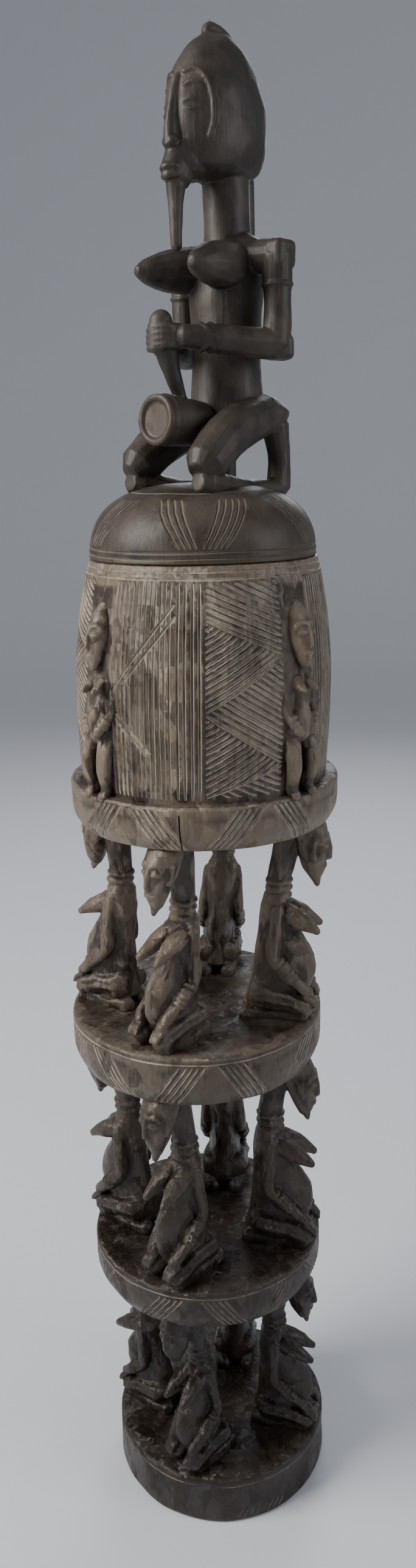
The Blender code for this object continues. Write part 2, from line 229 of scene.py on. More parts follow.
def upright(levels, height, bulge=0.5, sides=28):
    """A standing form from levels of (up, forward, half depth, half width)."""
    rings = [
        (place(0, forward, up) * height, width * height, depth * height)
        for up, forward, depth, width in filled_in(levels)
    ]
    for end, sign in ((0, -1), (-1, 1)):
        centre, width, depth = rings[end]
        tip = centre + UP * (sign * bulge * min(width, depth))
        cap = (tip, width * CAP_SHARE, depth * CAP_SHARE)
        rings.insert(0 if end == 0 else len(rings), cap)
    return ring_stack(rings, sides, "form")


# %% [markdown]
# Arms, legs and the raised lines of a face are curves with a round bevel. Each point of the
# curve has its own radius, so one curve makes a whole limb with its joints and its thin and
# thick places. It is turned into a mesh at once, because only meshes can be grown together.

# %% Limbs built from curves


def limb(joints, height, rounds=3):
    """A limb through joints of (side, forward, up, radius)."""
    curve = added(bpy.ops.curve.primitive_bezier_curve_add, radius=1, location=(0, 0, 0))
    curve.data.splines.clear()
    spline = curve.data.splines.new("POLY")
    stations = [(place(*spot), radius) for *spot, radius in filled_in(joints)]
    caps = []
    for (tip, radius), (inner, _) in (stations[:2], stations[:-3:-1]):
        beyond = (tip - inner).normalized() * radius * CAP_REACH
        caps.append((tip + beyond, radius * CAP_SHARE))
    stations = [caps[0], *stations, caps[1]]
    spline.points.add(len(stations) - 1)
    for point, (spot, radius) in zip(spline.points, stations):
        point.co = (*(spot * height), 1)
        point.radius = radius * height
    curve.data.dimensions = "3D"
    curve.data.bevel_depth = 1
    curve.data.bevel_resolution = rounds
    curve.data.use_fill_caps = True
    bpy.ops.object.convert(target="MESH")
    return bpy.context.object


def pair(joints, height, rounds=3):
    """The same limb on the left and on the right."""
    mirrored = [(-side, *rest) for side, *rest in joints]
    return [limb(joints, height, rounds), limb(mirrored, height, rounds)]


# %% [markdown]
# Limbs are dressed with raised rings, as the bracelets are, and with raised bars that run
# along them. Both are worked out from the limb's own joints, so they follow it when it moves.

# %% Bracelets and bars


def tipped(along):
    """The turn that lays the Z axis along a direction."""
    return place(*along).to_track_quat("Z", "Y").to_euler()


def band(centre, along, radius, thickness, height, oval=1.0):
    """A raised ring round a limb, such as a bracelet."""
    sizes = {"major_radius": radius * height, "minor_radius": thickness * height}
    ring = added(
        bpy.ops.mesh.primitive_torus_add, major_segments=28, minor_segments=8, **sizes,
        location=place(*centre) * height, rotation=tipped(along),
    )
    ring.scale = (1, oval, 1)
    return settled(ring)


def bracelets(joints, shares, radius, thickness, height):
    """Rings on both limbs, at these shares of the way between two of their joints."""
    start, end = (joint[:3] for joint in joints)
    along = [b - a for a, b in zip(start, end)]
    found = []
    for share in shares:
        centre = [a + step * share for a, step in zip(start, along)]
        for hand in (1, -1):
            sided = [(hand * side, *rest) for side, *rest in (centre, along)]
            found.append(band(*sided, radius, thickness, height))
    return found


def ribs(joints, height, angles, reach=0.80, thickness=0.30):
    """Raised bars along the outer side of a pair of limbs, with grooves between them."""
    found = []
    rows = np.array(joints, float)
    run = np.gradient(rows[:, 1:3], axis=0)
    run /= np.linalg.norm(run, axis=1, keepdims=True)
    for angle in np.radians(angles):
        route = []
        for (side, forward, up, radius), (ahead, rise) in zip(rows, run):
            out = radius * reach * math.cos(angle)
            over = radius * reach * math.sin(angle)
            spot = (side + out, forward - rise * over, up + ahead * over, radius * thickness)
            route.append(tuple(float(v) for v in spot))
        found += pair(route, height, rounds=2)
    return found


# %% [markdown]
# The features of a face lie on the skin of the head. Instead of guessing three numbers for
# each, they are placed by a height and by a turn from the nose round to the ear, and the head's
# own levels say where its skin is there. The faces are a carver's sign for a face and portray
# nobody.

# %% Features on a head's skin


def on_skin(levels, up, turn, raised=0.0):
    """The point of an upright form's skin at this height and turn from the front."""
    rows = np.array(filled_in(levels))
    forward, depth, width = (np.interp(up, rows[:, 0], rows[:, i]) for i in (1, 2, 3))
    angle = math.radians(turn)
    side = (width + raised) * math.sin(angle)
    return (float(side), float(forward + (depth + raised) * math.cos(angle)), up)


def nose_on(levels, stations, height):
    """A nose down the middle of a head through (up, raised, radius)."""
    return limb(
        [(0, on_skin(levels, up, 0)[1] + raised, up, radius) for up, raised, radius in stations],
        height,
    )


def lines_on(levels, lines, height):
    """Pairs of raised lines of (radius, raised, points), and points of (up, turn, radius)."""
    shapes = []
    for radius, raised, route in lines:
        joints = [
            (*on_skin(levels, up, turn, raised), own[0] if own else radius)
            for up, turn, *own in route
        ]
        shapes += pair(joints, height, rounds=2)
    return shapes


# %% [markdown]
# The limbs are joined and grown into one skin with a voxel Remesh, which works like casting
# them in one piece, and a light Smooth takes the steps off. Decimate then keeps small faces
# only where the skin bends, so that twelve women stay light.

# %% One skin from many limbs


def grown(shapes, name, grain, triangles, softening=3):
    """One skin over all the shapes, thinned to about this many triangles."""
    figure = joined(shapes, name)
    applied(figure, "REMESH", mode="VOXEL", voxel_size=grain)
    applied(figure, "SMOOTH", factor=0.5, iterations=softening)
    dense = triangle_count(figure)
    applied(figure, "DECIMATE", ratio=min(1.0, triangles / dense))
    applied(figure, "TRIANGULATE")
    print(name, "grown at", dense, "triangles, kept", triangle_count(figure))
    return figure


# %% [markdown]
# ## The kneeling women of the tiers
#
# Each carries a disc on a thick ringed neck. The head hangs forward under the rim, the breasts
# are long and pointed, the belly is round, and forearm, thigh and shin run down to the knee as
# three bars. The forearms wear bracelets, and the hands lie on the knees.

# %% Levels and joints of a kneeling woman
CARYATID_TORSO = (
    (0.08, -0.010, 0.130, 0.085),
    (0.20, 0.030, 0.148, 0.074),
    (0.32, 0.030, 0.138, 0.070),
    (0.43, 0.000, 0.100, 0.068),
    (0.52, -0.020, 0.080, 0.078),
    (0.60, -0.025, 0.062, 0.072),
)
CARYATID_NECK = (
    (0.56, -0.022, 0.060, 0.055),
    (0.70, -0.018, 0.056, 0.050),
    (0.82, 0.000, 0.060, 0.053),
    (0.92, 0.015, 0.070, 0.057),
    (1.02, 0.025, 0.085, 0.066),
)
CARYATID_HEAD = (
    (0.702, 0.144, 0.026, 0.024),
    (0.750, 0.138, 0.049, 0.046),
    (0.815, 0.129, 0.066, 0.068),
    (0.880, 0.116, 0.080, 0.078),
    (0.950, 0.094, 0.085, 0.078),
    (1.005, 0.077, 0.080, 0.068),
)
CARYATID_LIMBS = {
    "breasts": (
        (0.035, 0.020, 0.540, 0.046),
        (0.048, 0.105, 0.500, 0.040),
        (0.058, 0.185, 0.455, 0.016),
    ),
    "arms": (
        (0.060, -0.012, 0.560, 0.034),
        (0.078, -0.015, 0.440, 0.029),
        (0.087, -0.015, 0.325, 0.031),
        (0.087, 0.085, 0.225, 0.029),
        (0.070, 0.162, 0.150, 0.026),
    ),
    "thighs": (
        (0.055, -0.080, 0.130, 0.060),
        (0.062, 0.050, 0.110, 0.050),
        (0.066, 0.160, 0.075, 0.044),
    ),
    "shins": (
        (0.068, 0.145, 0.035, 0.036),
        (0.066, 0.010, 0.028, 0.033),
        (0.060, -0.130, 0.040, 0.038),
    ),
}
CARYATID_CHIN = ((0, 0.148, 0.712, 0.020), (0, 0.154, 0.690, 0.018), (0, 0.158, 0.668, 0.012))
CARYATID_NOSE = ((0.900, 0, 0.010), (0.850, 0.004, 0.011), (0.800, 0.008, 0.014))
CARYATID_LINES = (
    (0.009, 0, ((0.895, 6), (0.905, 28), (0.885, 50))),
    (0.010, 0, ((0.862, 20), (0.864, 32), (0.860, 42))),
    (0.011, -0.002, ((0.762, 0), (0.764, 22))),
    (0.013, 0, ((0.890, 78), (0.850, 84), (0.815, 82))),
)
CARYATID_GRAIN = 0.0062
NECK_RINGS = (0.612, 0.648, 0.684)
WRIST_BANDS = (0.25, 0.42, 0.59, 0.76, 0.93)
FINGER_PITCH = 0.0135


def hand_on_knee(height):
    """Four fingers side by side over the top of each knee."""
    shapes = []
    for i in range(4):
        side = 0.050 + FINGER_PITCH * i
        joints = (
            (side, 0.145, 0.142, 0.010),
            (side, 0.185, 0.118, 0.010),
            (side, 0.205, 0.088, 0.008),
        )
        shapes += pair(joints, height, rounds=2)
    return shapes


def kneeling_woman(name, height, triangles):
    levels = (CARYATID_TORSO, CARYATID_NECK, CARYATID_HEAD)
    shapes = [upright(form, height) for form in levels]
    for joints in CARYATID_LIMBS.values():
        shapes += pair(joints, height)
    shapes.append(nose_on(CARYATID_HEAD, CARYATID_NOSE, height))
    shapes += lines_on(CARYATID_HEAD, CARYATID_LINES, height)
    shapes.append(limb(CARYATID_CHIN, height))
    shapes += hand_on_knee(height)
    arms = CARYATID_LIMBS["arms"]
    shapes += ribs(CARYATID_LIMBS["thighs"], height, (-42, 0, 42))
    shapes += ribs(CARYATID_LIMBS["shins"], height, (-34, 20))
    shapes += ribs(arms[:3], height, (-30, 30), 0.78, 0.34)
    for up in NECK_RINGS:
        shapes.append(band((0, -0.019, up), (0, 0, 1), 0.0530, 0.0085, height, 1.08))
    shapes += bracelets(arms[2:4], WRIST_BANDS, 0.0300, 0.0078, height)
    return grown(shapes, name, height * CARYATID_GRAIN, triangles, 2)


# %% [markdown]
# ## The standing figures on the barrel
#
# They are half sunk in the wall: an oval head with a long nose, pointed breasts, thin arms
# that bend to the hips, and bent legs with the feet on the disc.

# %% Levels and joints of a relief figure
RELIEF_TORSO = (
    (0.32, 0.000, 0.062, 0.066),
    (0.42, 0.012, 0.062, 0.056),
    (0.52, 0.000, 0.050, 0.052),
    (0.62, -0.005, 0.045, 0.072),
)
RELIEF_NECK = ((0.60, -0.010, 0.045, 0.036), (0.72, -0.010, 0.048, 0.036))
RELIEF_HEAD = (
    (0.670, 0.055, 0.022, 0.020),
    (0.740, 0.032, 0.058, 0.050),
    (0.830, 0.012, 0.078, 0.068),
    (0.920, -0.008, 0.070, 0.062),
    (0.975, -0.020, 0.045, 0.042),
)
RELIEF_LIMBS = {
    "legs": (
        (0.050, -0.010, 0.350, 0.050),
        (0.068, 0.032, 0.190, 0.042),
        (0.060, 0.005, 0.060, 0.032),
        (0.060, 0.030, 0.010, 0.032),
    ),
    "arms": (
        (0.080, -0.010, 0.620, 0.034),
        (0.100, 0.005, 0.470, 0.027),
        (0.050, 0.062, 0.345, 0.028),
    ),
    "breasts": ((0.035, 0.020, 0.595, 0.036), (0.046, 0.088, 0.560, 0.017)),
}
RELIEF_NOSE = ((0.880, 0, 0.011), (0.830, 0.004, 0.011), (0.780, 0.012, 0.011))
RELIEF_LINES = (
    (0.010, 0, ((0.875, 6), (0.885, 30), (0.860, 55))),
    (0.011, 0, ((0.838, 22), (0.840, 34), (0.836, 46))),
    (0.011, -0.002, ((0.738, 0), (0.740, 24))),
)
RELIEF_GRAIN = 0.0068


def standing_figure(name, height, triangles):
    levels = (RELIEF_TORSO, RELIEF_NECK, RELIEF_HEAD)
    shapes = [upright(form, height) for form in levels]
    for joints in RELIEF_LIMBS.values():
        shapes += pair(joints, height)
    shapes.append(nose_on(RELIEF_HEAD, RELIEF_NOSE, height))
    shapes += lines_on(RELIEF_HEAD, RELIEF_LINES, height)
    shapes += bracelets(RELIEF_LIMBS["arms"][1:], (0.45, 0.65, 0.85), 0.027, 0.007, height)
    return grown(shapes, name, height * RELIEF_GRAIN, triangles)


# %% [markdown]
# ## The log
#
# The foot, the discs and the barrel are one stack of turned forms. Their heights and radii are
# those of the solid, so the visible skin fits the solid everywhere.

# %% Heights and radii of the stack
BASE_TOP = 0.052
LOW_BOTTOM = 0.2355
LOW_TOP = 0.2785
MIDDLE_BOTTOM = 0.478
MIDDLE_TOP = 0.5265
TOP_BOTTOM = 0.716
TOP_TOP = 0.755
MOUTH = 0.947
BASE_RADIUS = 0.1085
LOW_RADIUS = 0.1142
MIDDLE_RADIUS = 0.1195
TOP_RADIUS = 0.1214
FOOT_RADIUS = 0.1105
BELLY_RADIUS = 0.1135
MOUTH_RADIUS = 0.0995
BELLY_AT = 0.4
WALL = 0.013
FLOOR = 0.014
RIM_ROUND = 0.004
RIM_UNDERCUT = 0.007
RIM_BELLY_AT = 0.4
SHIFT = Vector((-math.sqrt(0.5), -math.sqrt(0.5), 0))
AXIS = [SHIFT * shift for shift in (0, 0.0100, 0.0155, 0.0033)]
VESSEL_HEIGHT = MOUTH - TOP_TOP
LEAN = -AXIS[3] / VESSEL_HEIGHT
TURNS = 128


def vessel_radius(z):
    """Outer radius of the barrel at a height."""
    share = (z - TOP_TOP) / VESSEL_HEIGHT
    if share < BELLY_AT:
        return BELLY_RADIUS - (BELLY_RADIUS - FOOT_RADIUS) * (1 - share / BELLY_AT) ** 2
    rise = (share - BELLY_AT) / (1 - BELLY_AT)
    return BELLY_RADIUS - (BELLY_RADIUS - MOUTH_RADIUS) * rise**2


def vessel_centre(z):
    return AXIS[3] + LEAN * (z - TOP_TOP) + UP * z


def rim_radius(radius, bottom, top, z):
    """Radius of a disc's rim at a height: it curves in below and is rounded above."""
    belly = bottom + (top - bottom) * RIM_BELLY_AT
    if z < belly:
        return radius - RIM_UNDERCUT * ((belly - z) / (belly - bottom)) ** 1.6
    over = max(0.0, z - (top - RIM_ROUND)) / RIM_ROUND
    return radius - RIM_ROUND * (1 - math.sqrt(max(0.0, 1 - over**2)))


# %% [markdown]
# A turned form is too perfect for a log that was worked with an adze. A Displace with a soft
# cloud texture moves the skin by less than a millimetre, which is enough for the light to
# wander over it. The flat ends get a few rings too, so that they can be moved.

# %% Turned forms with an adzed skin
ADZED = 0.0016
FLAT_RINGS = (0.90, 0.78, 0.65, 0.50, 0.35, 0.20, 0.07)
adze = bpy.data.textures.new("adze", "CLOUDS")
adze.noise_scale = 0.035
adze.noise_depth = 1


def adzed(shape, strength):
    applied(shape, "TRIANGULATE")
    applied(shape, "DISPLACE", texture=adze, strength=strength, mid_level=0.5)
    return shape


def with_flats(rings):
    """Adds rings on the flat ends."""
    (low, low_radius, _), (high, high_radius, _) = rings[0], rings[-1]
    under = [(low, low_radius * share, low_radius * share) for share in reversed(FLAT_RINGS)]
    over = [(high, high_radius * share, high_radius * share) for share in FLAT_RINGS]
    return [*under, *rings, *over]


def rim_rings(radius, bottom, top, centre):
    """Rings of a disc from the middle of its underside over its rim to the middle on top."""
    levels = [bottom + (top - bottom) * share for share in (0, 0.08, 0.18, 0.3, 0.45, 0.7)]
    levels += [top - RIM_ROUND * share for share in (1, 0.66, 0.36, 0.12, 0)]
    sizes = [(z, rim_radius(radius, bottom, top, z)) for z in levels]
    return with_flats([(centre + UP * z, here, here) for z, here in sizes])


foot_profile = [(0, BASE_RADIUS - RIM_ROUND), (0.0014, BASE_RADIUS - 0.0012)]
foot_profile += [(RIM_ROUND + 0.0055 * i, BASE_RADIUS) for i in range(9)]
foot_profile += [(BASE_TOP - 0.0012, BASE_RADIUS - 0.0014), (BASE_TOP, BASE_RADIUS - RIM_ROUND)]
foot_rings = with_flats([(UP * z, radius, radius) for z, radius in foot_profile])
discs = (
    (LOW_RADIUS, LOW_BOTTOM, LOW_TOP, AXIS[1]),
    (MIDDLE_RADIUS, MIDDLE_BOTTOM, MIDDLE_TOP, AXIS[2]),
    (TOP_RADIUS, TOP_BOTTOM, TOP_TOP, AXIS[3]),
)
foot = adzed(ring_stack(foot_rings, TURNS, "foot"), ADZED)
low_disc = adzed(ring_stack(rim_rings(*discs[0]), TURNS, "low_disc"), ADZED)
middle_disc = adzed(ring_stack(rim_rings(*discs[1]), TURNS, "middle_disc"), ADZED)
print("foot and two discs turned with", TURNS, "sides")

# %% [markdown]
# The barrel and the disc under it are one stack: up the outside, over the lip, down the inside
# and across the floor. So the barrel is truly hollow.

# %% The barrel
ADZED_BARREL = 0.0009
floor_level = TOP_TOP + FLOOR
barrel_profile = [(TOP_TOP, FOOT_RADIUS)]
for i in range(1, 20):
    level = TOP_TOP + VESSEL_HEIGHT * i / 20
    barrel_profile.append((level, vessel_radius(level)))
barrel_profile += [
    (MOUTH - 0.0020, vessel_radius(MOUTH) - 0.0001),
    (MOUTH - 0.0005, vessel_radius(MOUTH) - 0.0008),
    (MOUTH, vessel_radius(MOUTH) - 0.0022),
    (MOUTH, vessel_radius(MOUTH) - WALL + 0.0015),
    (MOUTH - 0.0015, vessel_radius(MOUTH) - WALL),
]
for i in range(1, 6):
    level = MOUTH - (MOUTH - TOP_TOP - FLOOR) * i / 6
    barrel_profile.append((level, vessel_radius(level) - WALL))
barrel_profile += [
    (floor_level + 0.004, vessel_radius(floor_level) - WALL),
    (floor_level, vessel_radius(floor_level) - WALL - 0.004),
    (floor_level, 0.04),
]
barrel_rings = rim_rings(*discs[2])[: -len(FLAT_RINGS)]
barrel_rings += [(vessel_centre(z), radius, radius) for z, radius in barrel_profile]
barrel = adzed(ring_stack(barrel_rings, TURNS, "barrel"), ADZED_BARREL)
print("barrel turned with", len(barrel_rings), "rings")

# %% [markdown]
# ## Setting the figures into the log
#
# One woman is grown for each tier and copied to the four places. Each copy has its own mesh,
# and leans by a shear so that her knees stay on one disc and her head under the next, though
# the discs aren't quite above each other.

# %% Rings of women and the figures on the barrel
TIER_PLACES = (31, 113, 209, 312)
TIER_TWISTS = (-32, 12, 10, -35)
FIGURE_INSET = 0.041
FIGURE_SINK = 0.004
RELIEF_PLACES = (-6, 90, 178, 266)
RELIEF_HEIGHT = VESSEL_HEIGHT * 0.865
RELIEF_SINK = 0.003
CARYATID_TRIANGLES = 6400
RELIEF_TRIANGLES = 4600


def turned_out(turn):
    return Matrix.Rotation(math.radians(turn), 3, "Z") @ Vector((0, -1, 0))


def set_in(figure, feet, crown, height, facing, name):
    """A copy with its own mesh that stands at feet, leans over to crown and faces its way."""
    lean = Matrix.Identity(4)
    lean[0][2] = (crown.x - feet.x) / height
    lean[1][2] = (crown.y - feet.y) / height
    turn = Matrix.Rotation(math.radians(facing), 4, "Z")
    copy = bpy.data.objects.new(name, figure.data.copy())
    bpy.context.scene.collection.objects.link(copy)
    copy.data.transform(Matrix.Translation(feet) @ lean @ turn)
    return copy


def tier(name, low, high, low_radius, high_radius):
    height = high.z - low.z + FIGURE_SINK
    woman = kneeling_woman(name, height, CARYATID_TRIANGLES)
    copies = []
    for turn, twist in zip(TIER_PLACES, TIER_TWISTS):
        out = turned_out(turn)
        knees = low + out * (low_radius - FIGURE_INSET)
        crown = high + out * (high_radius - FIGURE_INSET)
        knees.z -= FIGURE_SINK
        copies.append(set_in(woman, knees, crown, height, turn + twist, f"{name}_{turn}"))
    bpy.data.objects.remove(woman, do_unlink=True)
    return joined(copies, name)


stack = (
    ("low_tier", BASE_TOP, LOW_BOTTOM, BASE_RADIUS, LOW_RADIUS),
    ("middle_tier", LOW_TOP, MIDDLE_BOTTOM, LOW_RADIUS, MIDDLE_RADIUS),
    ("top_tier", MIDDLE_TOP, TOP_BOTTOM, MIDDLE_RADIUS, TOP_RADIUS),
)
tiers = []
for i, (name, low, high, *radii) in enumerate(stack):
    low, high = AXIS[i] + UP * low, AXIS[i + 1] + UP * (high + FIGURE_SINK)
    tiers.append(tier(name, low, high, *radii))

relief = standing_figure("relief", RELIEF_HEIGHT, RELIEF_TRIANGLES)
reliefs = []
for turn in RELIEF_PLACES:
    out = turned_out(turn)
    feet = AXIS[3] + out * (vessel_radius(TOP_TOP) + RELIEF_SINK)
    feet.z = TOP_TOP - RELIEF_SINK
    crown = AXIS[3] + LEAN * RELIEF_HEIGHT
    crown += out * vessel_radius(TOP_TOP + RELIEF_HEIGHT)
    reliefs.append(set_in(relief, feet, crown, RELIEF_HEIGHT, turn, f"relief_{turn}"))
bpy.data.objects.remove(relief, do_unlink=True)
relief_ring = joined(reliefs, "relief_ring")
print("tiers", [triangle_count(t) for t in tiers], "reliefs", triangle_count(relief_ring))

# %% [markdown]
# A knife leaves small flat facets. A Displace with a cell texture presses shallow dents into
# the skin, and because it is applied where the figures stand, no two women get the same ones.

# %% Knife facets on the figures
chisel = bpy.data.textures.new("chisel", "VORONOI")
chisel.distance_metric = "DISTANCE"


def chiselled(figures, strength, scale=0.011):
    chisel.noise_scale = scale
    applied(figures, "DISPLACE", texture=chisel, strength=strength, mid_level=0.35)
    faced_with(figures, uncut)


for ring in tiers:
    chiselled(ring, 0.0020)
chiselled(relief_ring, 0.0010)

# %% [markdown]
# ## Knife lines
#
# The pattern on the barrel, the rims and the lid is cut, not painted: a V-shaped blade leaves
# a groove with two sloping sides. Each stroke here is a long thin wedge that lies on the skin
# and is taken away from it by a Boolean. A stroke starts shallow, goes deep and ends shallow,
# and no two are quite alike.

# %% A stroke of the knife
STROKE_STEP = 0.0125
STROKE_LIFT = 0.0010
STROKE_END = 0.35
RING_STEPS = 120


def skin_point(radius_of, centre_of, turn, z):
    """A point on a turned skin and the direction that points out of it there."""
    out = turned_out(turn)
    slope = (radius_of(z + 0.0005) - radius_of(z - 0.0005)) / 0.001
    normal = (out - UP * slope).normalized()
    return centre_of(z) + out * radius_of(z), normal


def blade(bm, point, normal, side, half, bite):
    """Three corners of the wedge: two above the skin and the edge below it."""
    above = point + normal * STROKE_LIFT
    corners = (above + side * half, above - side * half, point - normal * bite)
    return [bm.verts.new(corner) for corner in corners]


def sides_between(bm, blades):
    for a, b in zip(blades, blades[1:]):
        for j in range(3):
            k = (j + 1) % 3
            bm.faces.new((a[j], a[k], b[k], b[j]))


def add_stroke(bm, skin, start, end, width, depth):
    """A wedge from start to end, both (turn, height), on a skin of (radius, centre)."""
    radius = skin[0](start[1])
    across = math.radians(end[0] - start[0]) * radius
    length = math.hypot(across, end[1] - start[1])
    steps = max(2, math.ceil(length / STROKE_STEP))
    wobble = random.uniform(-0.35, 0.35)
    spots = []
    for i in range(steps + 1):
        share = i / steps
        turn = start[0] + (end[0] - start[0]) * share
        turn += wobble * math.sin(math.pi * share) * 0.5
        z = start[1] + (end[1] - start[1]) * share
        spots.append(skin_point(*skin, turn, z))
    blades = []
    for i, (point, normal) in enumerate(spots):
        ahead = spots[min(i + 1, steps)][0] - spots[max(i - 1, 0)][0]
        side = ahead.cross(normal).normalized()
        bite = depth * (STROKE_END if i in (0, steps) else random.uniform(0.85, 1.1))
        half = width / 2 * (bite / depth) ** 0.5 * (1 + STROKE_LIFT / bite)
        blades.append(blade(bm, point, normal, side, half, bite))
    sides_between(bm, blades)
    bm.faces.new(reversed(blades[0]))
    bm.faces.new(blades[-1])


def ring_line(bm, skin, z, width, depth):
    """A closed line round a turned skin, which wanders a little up and down."""
    phase = random.uniform(0, math.tau)
    blades = []
    for i in range(RING_STEPS):
        turn = 360 * i / RING_STEPS
        wave = math.sin(3 * math.radians(turn) + phase)
        wave += 0.6 * math.sin(7 * math.radians(turn) + 2 * phase)
        point, normal = skin_point(*skin, turn, z + 0.0004 * wave)
        bite = depth * (0.85 + 0.2 * wave)
        half = width / 2 * (1 + STROKE_LIFT / bite)
        side = turned_out(turn + 90).cross(normal).normalized()
        blades.append(blade(bm, point, normal, side, half, bite))
    sides_between(bm, blades + blades[:1])


# %% [markdown]
# Fields of parallel strokes are laid out flat: the turn round the barrel becomes a width, and
# each stroke is a straight line that is clipped to the corners of its field.

# %% Fields of parallel strokes
FLAT_RADIUS = 0.108
PER_DEGREE = math.radians(1) * FLAT_RADIUS
SHORTEST = 0.004
FAR_AWAY = 1e9
PARALLEL = 1e-12


def clipped(corners, point, direction):
    """The part of a line inside a flat polygon without dents, or None."""
    near, far = -FAR_AWAY, FAR_AWAY
    edges = list(zip(corners, corners[1:] + corners[:1]))
    sign = 1 if sum(a[0] * b[1] - b[0] * a[1] for a, b in edges) > 0 else -1
    for a, b in edges:
        normal = ((b[1] - a[1]) * sign, (a[0] - b[0]) * sign)
        across = normal[0] * direction[0] + normal[1] * direction[1]
        over = normal[0] * (a[0] - point[0]) + normal[1] * (a[1] - point[1])
        if abs(across) < PARALLEL:
            if over < 0:
                return None
        elif across > 0:
            far = min(far, over / across)
        else:
            near = max(near, over / across)
    if far - near < SHORTEST:
        return None
    return [(point[0] + direction[0] * t, point[1] + direction[1] * t) for t in (near, far)]


def hatch(bm, skin, corners, slope, pitch, line, margin=0.0):
    """Parallel strokes at a slope in degrees over a field with (turn, height) corners."""
    width, depth = line
    flat = [(turn * PER_DEGREE, z) for turn, z in corners]
    angle = math.radians(slope)
    along = (math.cos(angle), math.sin(angle))
    across = (-math.sin(angle), math.cos(angle))
    reach = [x * across[0] + z * across[1] for x, z in flat]
    count = int((max(reach) - min(reach) - pitch * 0.6) // pitch)
    for i in range(count + 1):
        offset = min(reach) + pitch * (i + 0.8) + random.uniform(-0.1, 0.1) * pitch
        found = clipped(flat, (across[0] * offset, across[1] * offset), along)
        if not found:
            continue
        (x0, z0), (x1, z1) = found
        x0, z0 = x0 + along[0] * margin, z0 + along[1] * margin
        x1, z1 = x1 - along[0] * margin, z1 - along[1] * margin
        ends = (x0 / PER_DEGREE, z0), (x1 / PER_DEGREE, z1)
        add_stroke(bm, skin, *ends, width * random.uniform(0.85, 1.15), depth)


def knife_pass(obj, lay_down, material=cut_open):
    """Cuts all the strokes that the function lay_down adds. No two in one pass may cross."""
    mesh = bpy.data.meshes.new("strokes")
    bm = bmesh.new()
    lay_down(bm)
    bmesh.ops.recalc_face_normals(bm, faces=bm.faces)
    bm.to_mesh(mesh)
    bm.free()
    cutter = bpy.data.objects.new("strokes", mesh)
    bpy.context.scene.collection.objects.link(cutter)
    combined(obj, faced_with(cutter, material), "DIFFERENCE")
    print(obj.name, "after a pass:", triangle_count(obj), "triangles")


# %% [markdown]
# Between two standing figures the barrel has a band of four deep upright lines. The field on
# its left has fine upright lines with a sideways arrow of slanting strokes, and the field on
# its right a zigzag whose triangles are hatched one way and the other. The sides that the
# photograph hides get the same layout without the arrow.

# %% Pattern of the barrel
FIELD_LOW = 0.7585
FIELD_HIGH = 0.9340
BAND_LINES = (34.0, 37.0, 40.2, 43.2)
BAND_EDGE = BAND_LINES[-1] + 1.6
LEFT_EDGES = (3.0, BAND_LINES[0] - 1.5)
RIGHT_EDGE = 81.0
TEETH = (0.9330, 0.9060, 0.8745, 0.8305, 0.7830, 0.7600)
SLOPES = (-24, 32, -33, 31, -24)
ARROW = (
    ((32.3, 0.9180), (1.6, 0.8440)),
    ((33.0, 0.9090), (8.5, 0.8530)),
    ((1.6, 0.8350), (22.0, 0.7966)),
    ((3.7, 0.8250), (19.2, 0.7960)),
)
DEEP_LINE = (0.0030, 0.0019)
FINE_LINE = (0.0019, 0.0010)
HATCH_LINE = (0.0027, 0.0014)
ARROW_LINE = (0.0030, 0.0017)
ZIGZAG_LINE = (0.0024, 0.0013)
LIP_LINE = (0.0020, 0.0011)
vessel_skin = (vessel_radius, vessel_centre)


def quarter(start, end):
    """Turns an angle of the front field into one of the field from start to end."""
    ratio = (end - start) / (RELIEF_PLACES[1] - RELIEF_PLACES[0])
    return lambda turn: start + (turn - RELIEF_PLACES[0]) * ratio


quarters = [
    quarter(start, end)
    for start, end in zip(RELIEF_PLACES, (*RELIEF_PLACES[1:], RELIEF_PLACES[0] + 360))
]


def zigzag(turn):
    """Corners of the zigzag, at the standing figure and on the band by turns."""
    edges = (turn(RIGHT_EDGE), turn(BAND_EDGE))
    return [(edges[i % 2], z) for i, z in enumerate(TEETH)]


def fields(bm):
    """Upright lines on the left, the deep band, and hatched triangles on the right."""
    for turn in quarters:
        for line in BAND_LINES:
            add_stroke(
                bm, vessel_skin, (turn(line), FIELD_LOW), (turn(line), FIELD_HIGH), *DEEP_LINE
            )
        start, end = (turn(edge) for edge in LEFT_EDGES)
        left = [(start, FIELD_LOW), (end, FIELD_LOW), (end, FIELD_HIGH), (start, FIELD_HIGH)]
        hatch(bm, vessel_skin, left, 90, 0.0043, FINE_LINE)
        corners = zigzag(turn)
        near, far = turn(BAND_EDGE), turn(RIGHT_EDGE)
        top = [(near, FIELD_HIGH), (far, FIELD_HIGH), corners[2], corners[1]]
        low = [corners[5], corners[4], (far, FIELD_LOW)]
        for field, slope in zip((top, corners[1:4], corners[2:5], corners[3:6], low), SLOPES):
            hatch(bm, vessel_skin, field, slope, 0.0047, HATCH_LINE, 0.0018)
    for below in (0.0045, 0.0100):
        ring_line(bm, vessel_skin, MOUTH - below, *LIP_LINE)


def arrow_and_zigzags(bm):
    """The slanting pairs over the front's upright lines, and the edges of the triangles."""
    for start, end in ARROW:
        ends = ((quarters[0](turn), z) for turn, z in (start, end))
        add_stroke(bm, vessel_skin, *ends, *ARROW_LINE)
    for turn in quarters:
        corners = zigzag(turn)[1:]
        for a, b in zip(corners, corners[1:]):
            inset = (b[0] - a[0]) * 0.03, (b[1] - a[1]) * 0.03
            a, b = (a[0] + inset[0], a[1] + inset[1]), (b[0] - inset[0], b[1] - inset[1])
            add_stroke(bm, vessel_skin, a, b, *ZIGZAG_LINE)


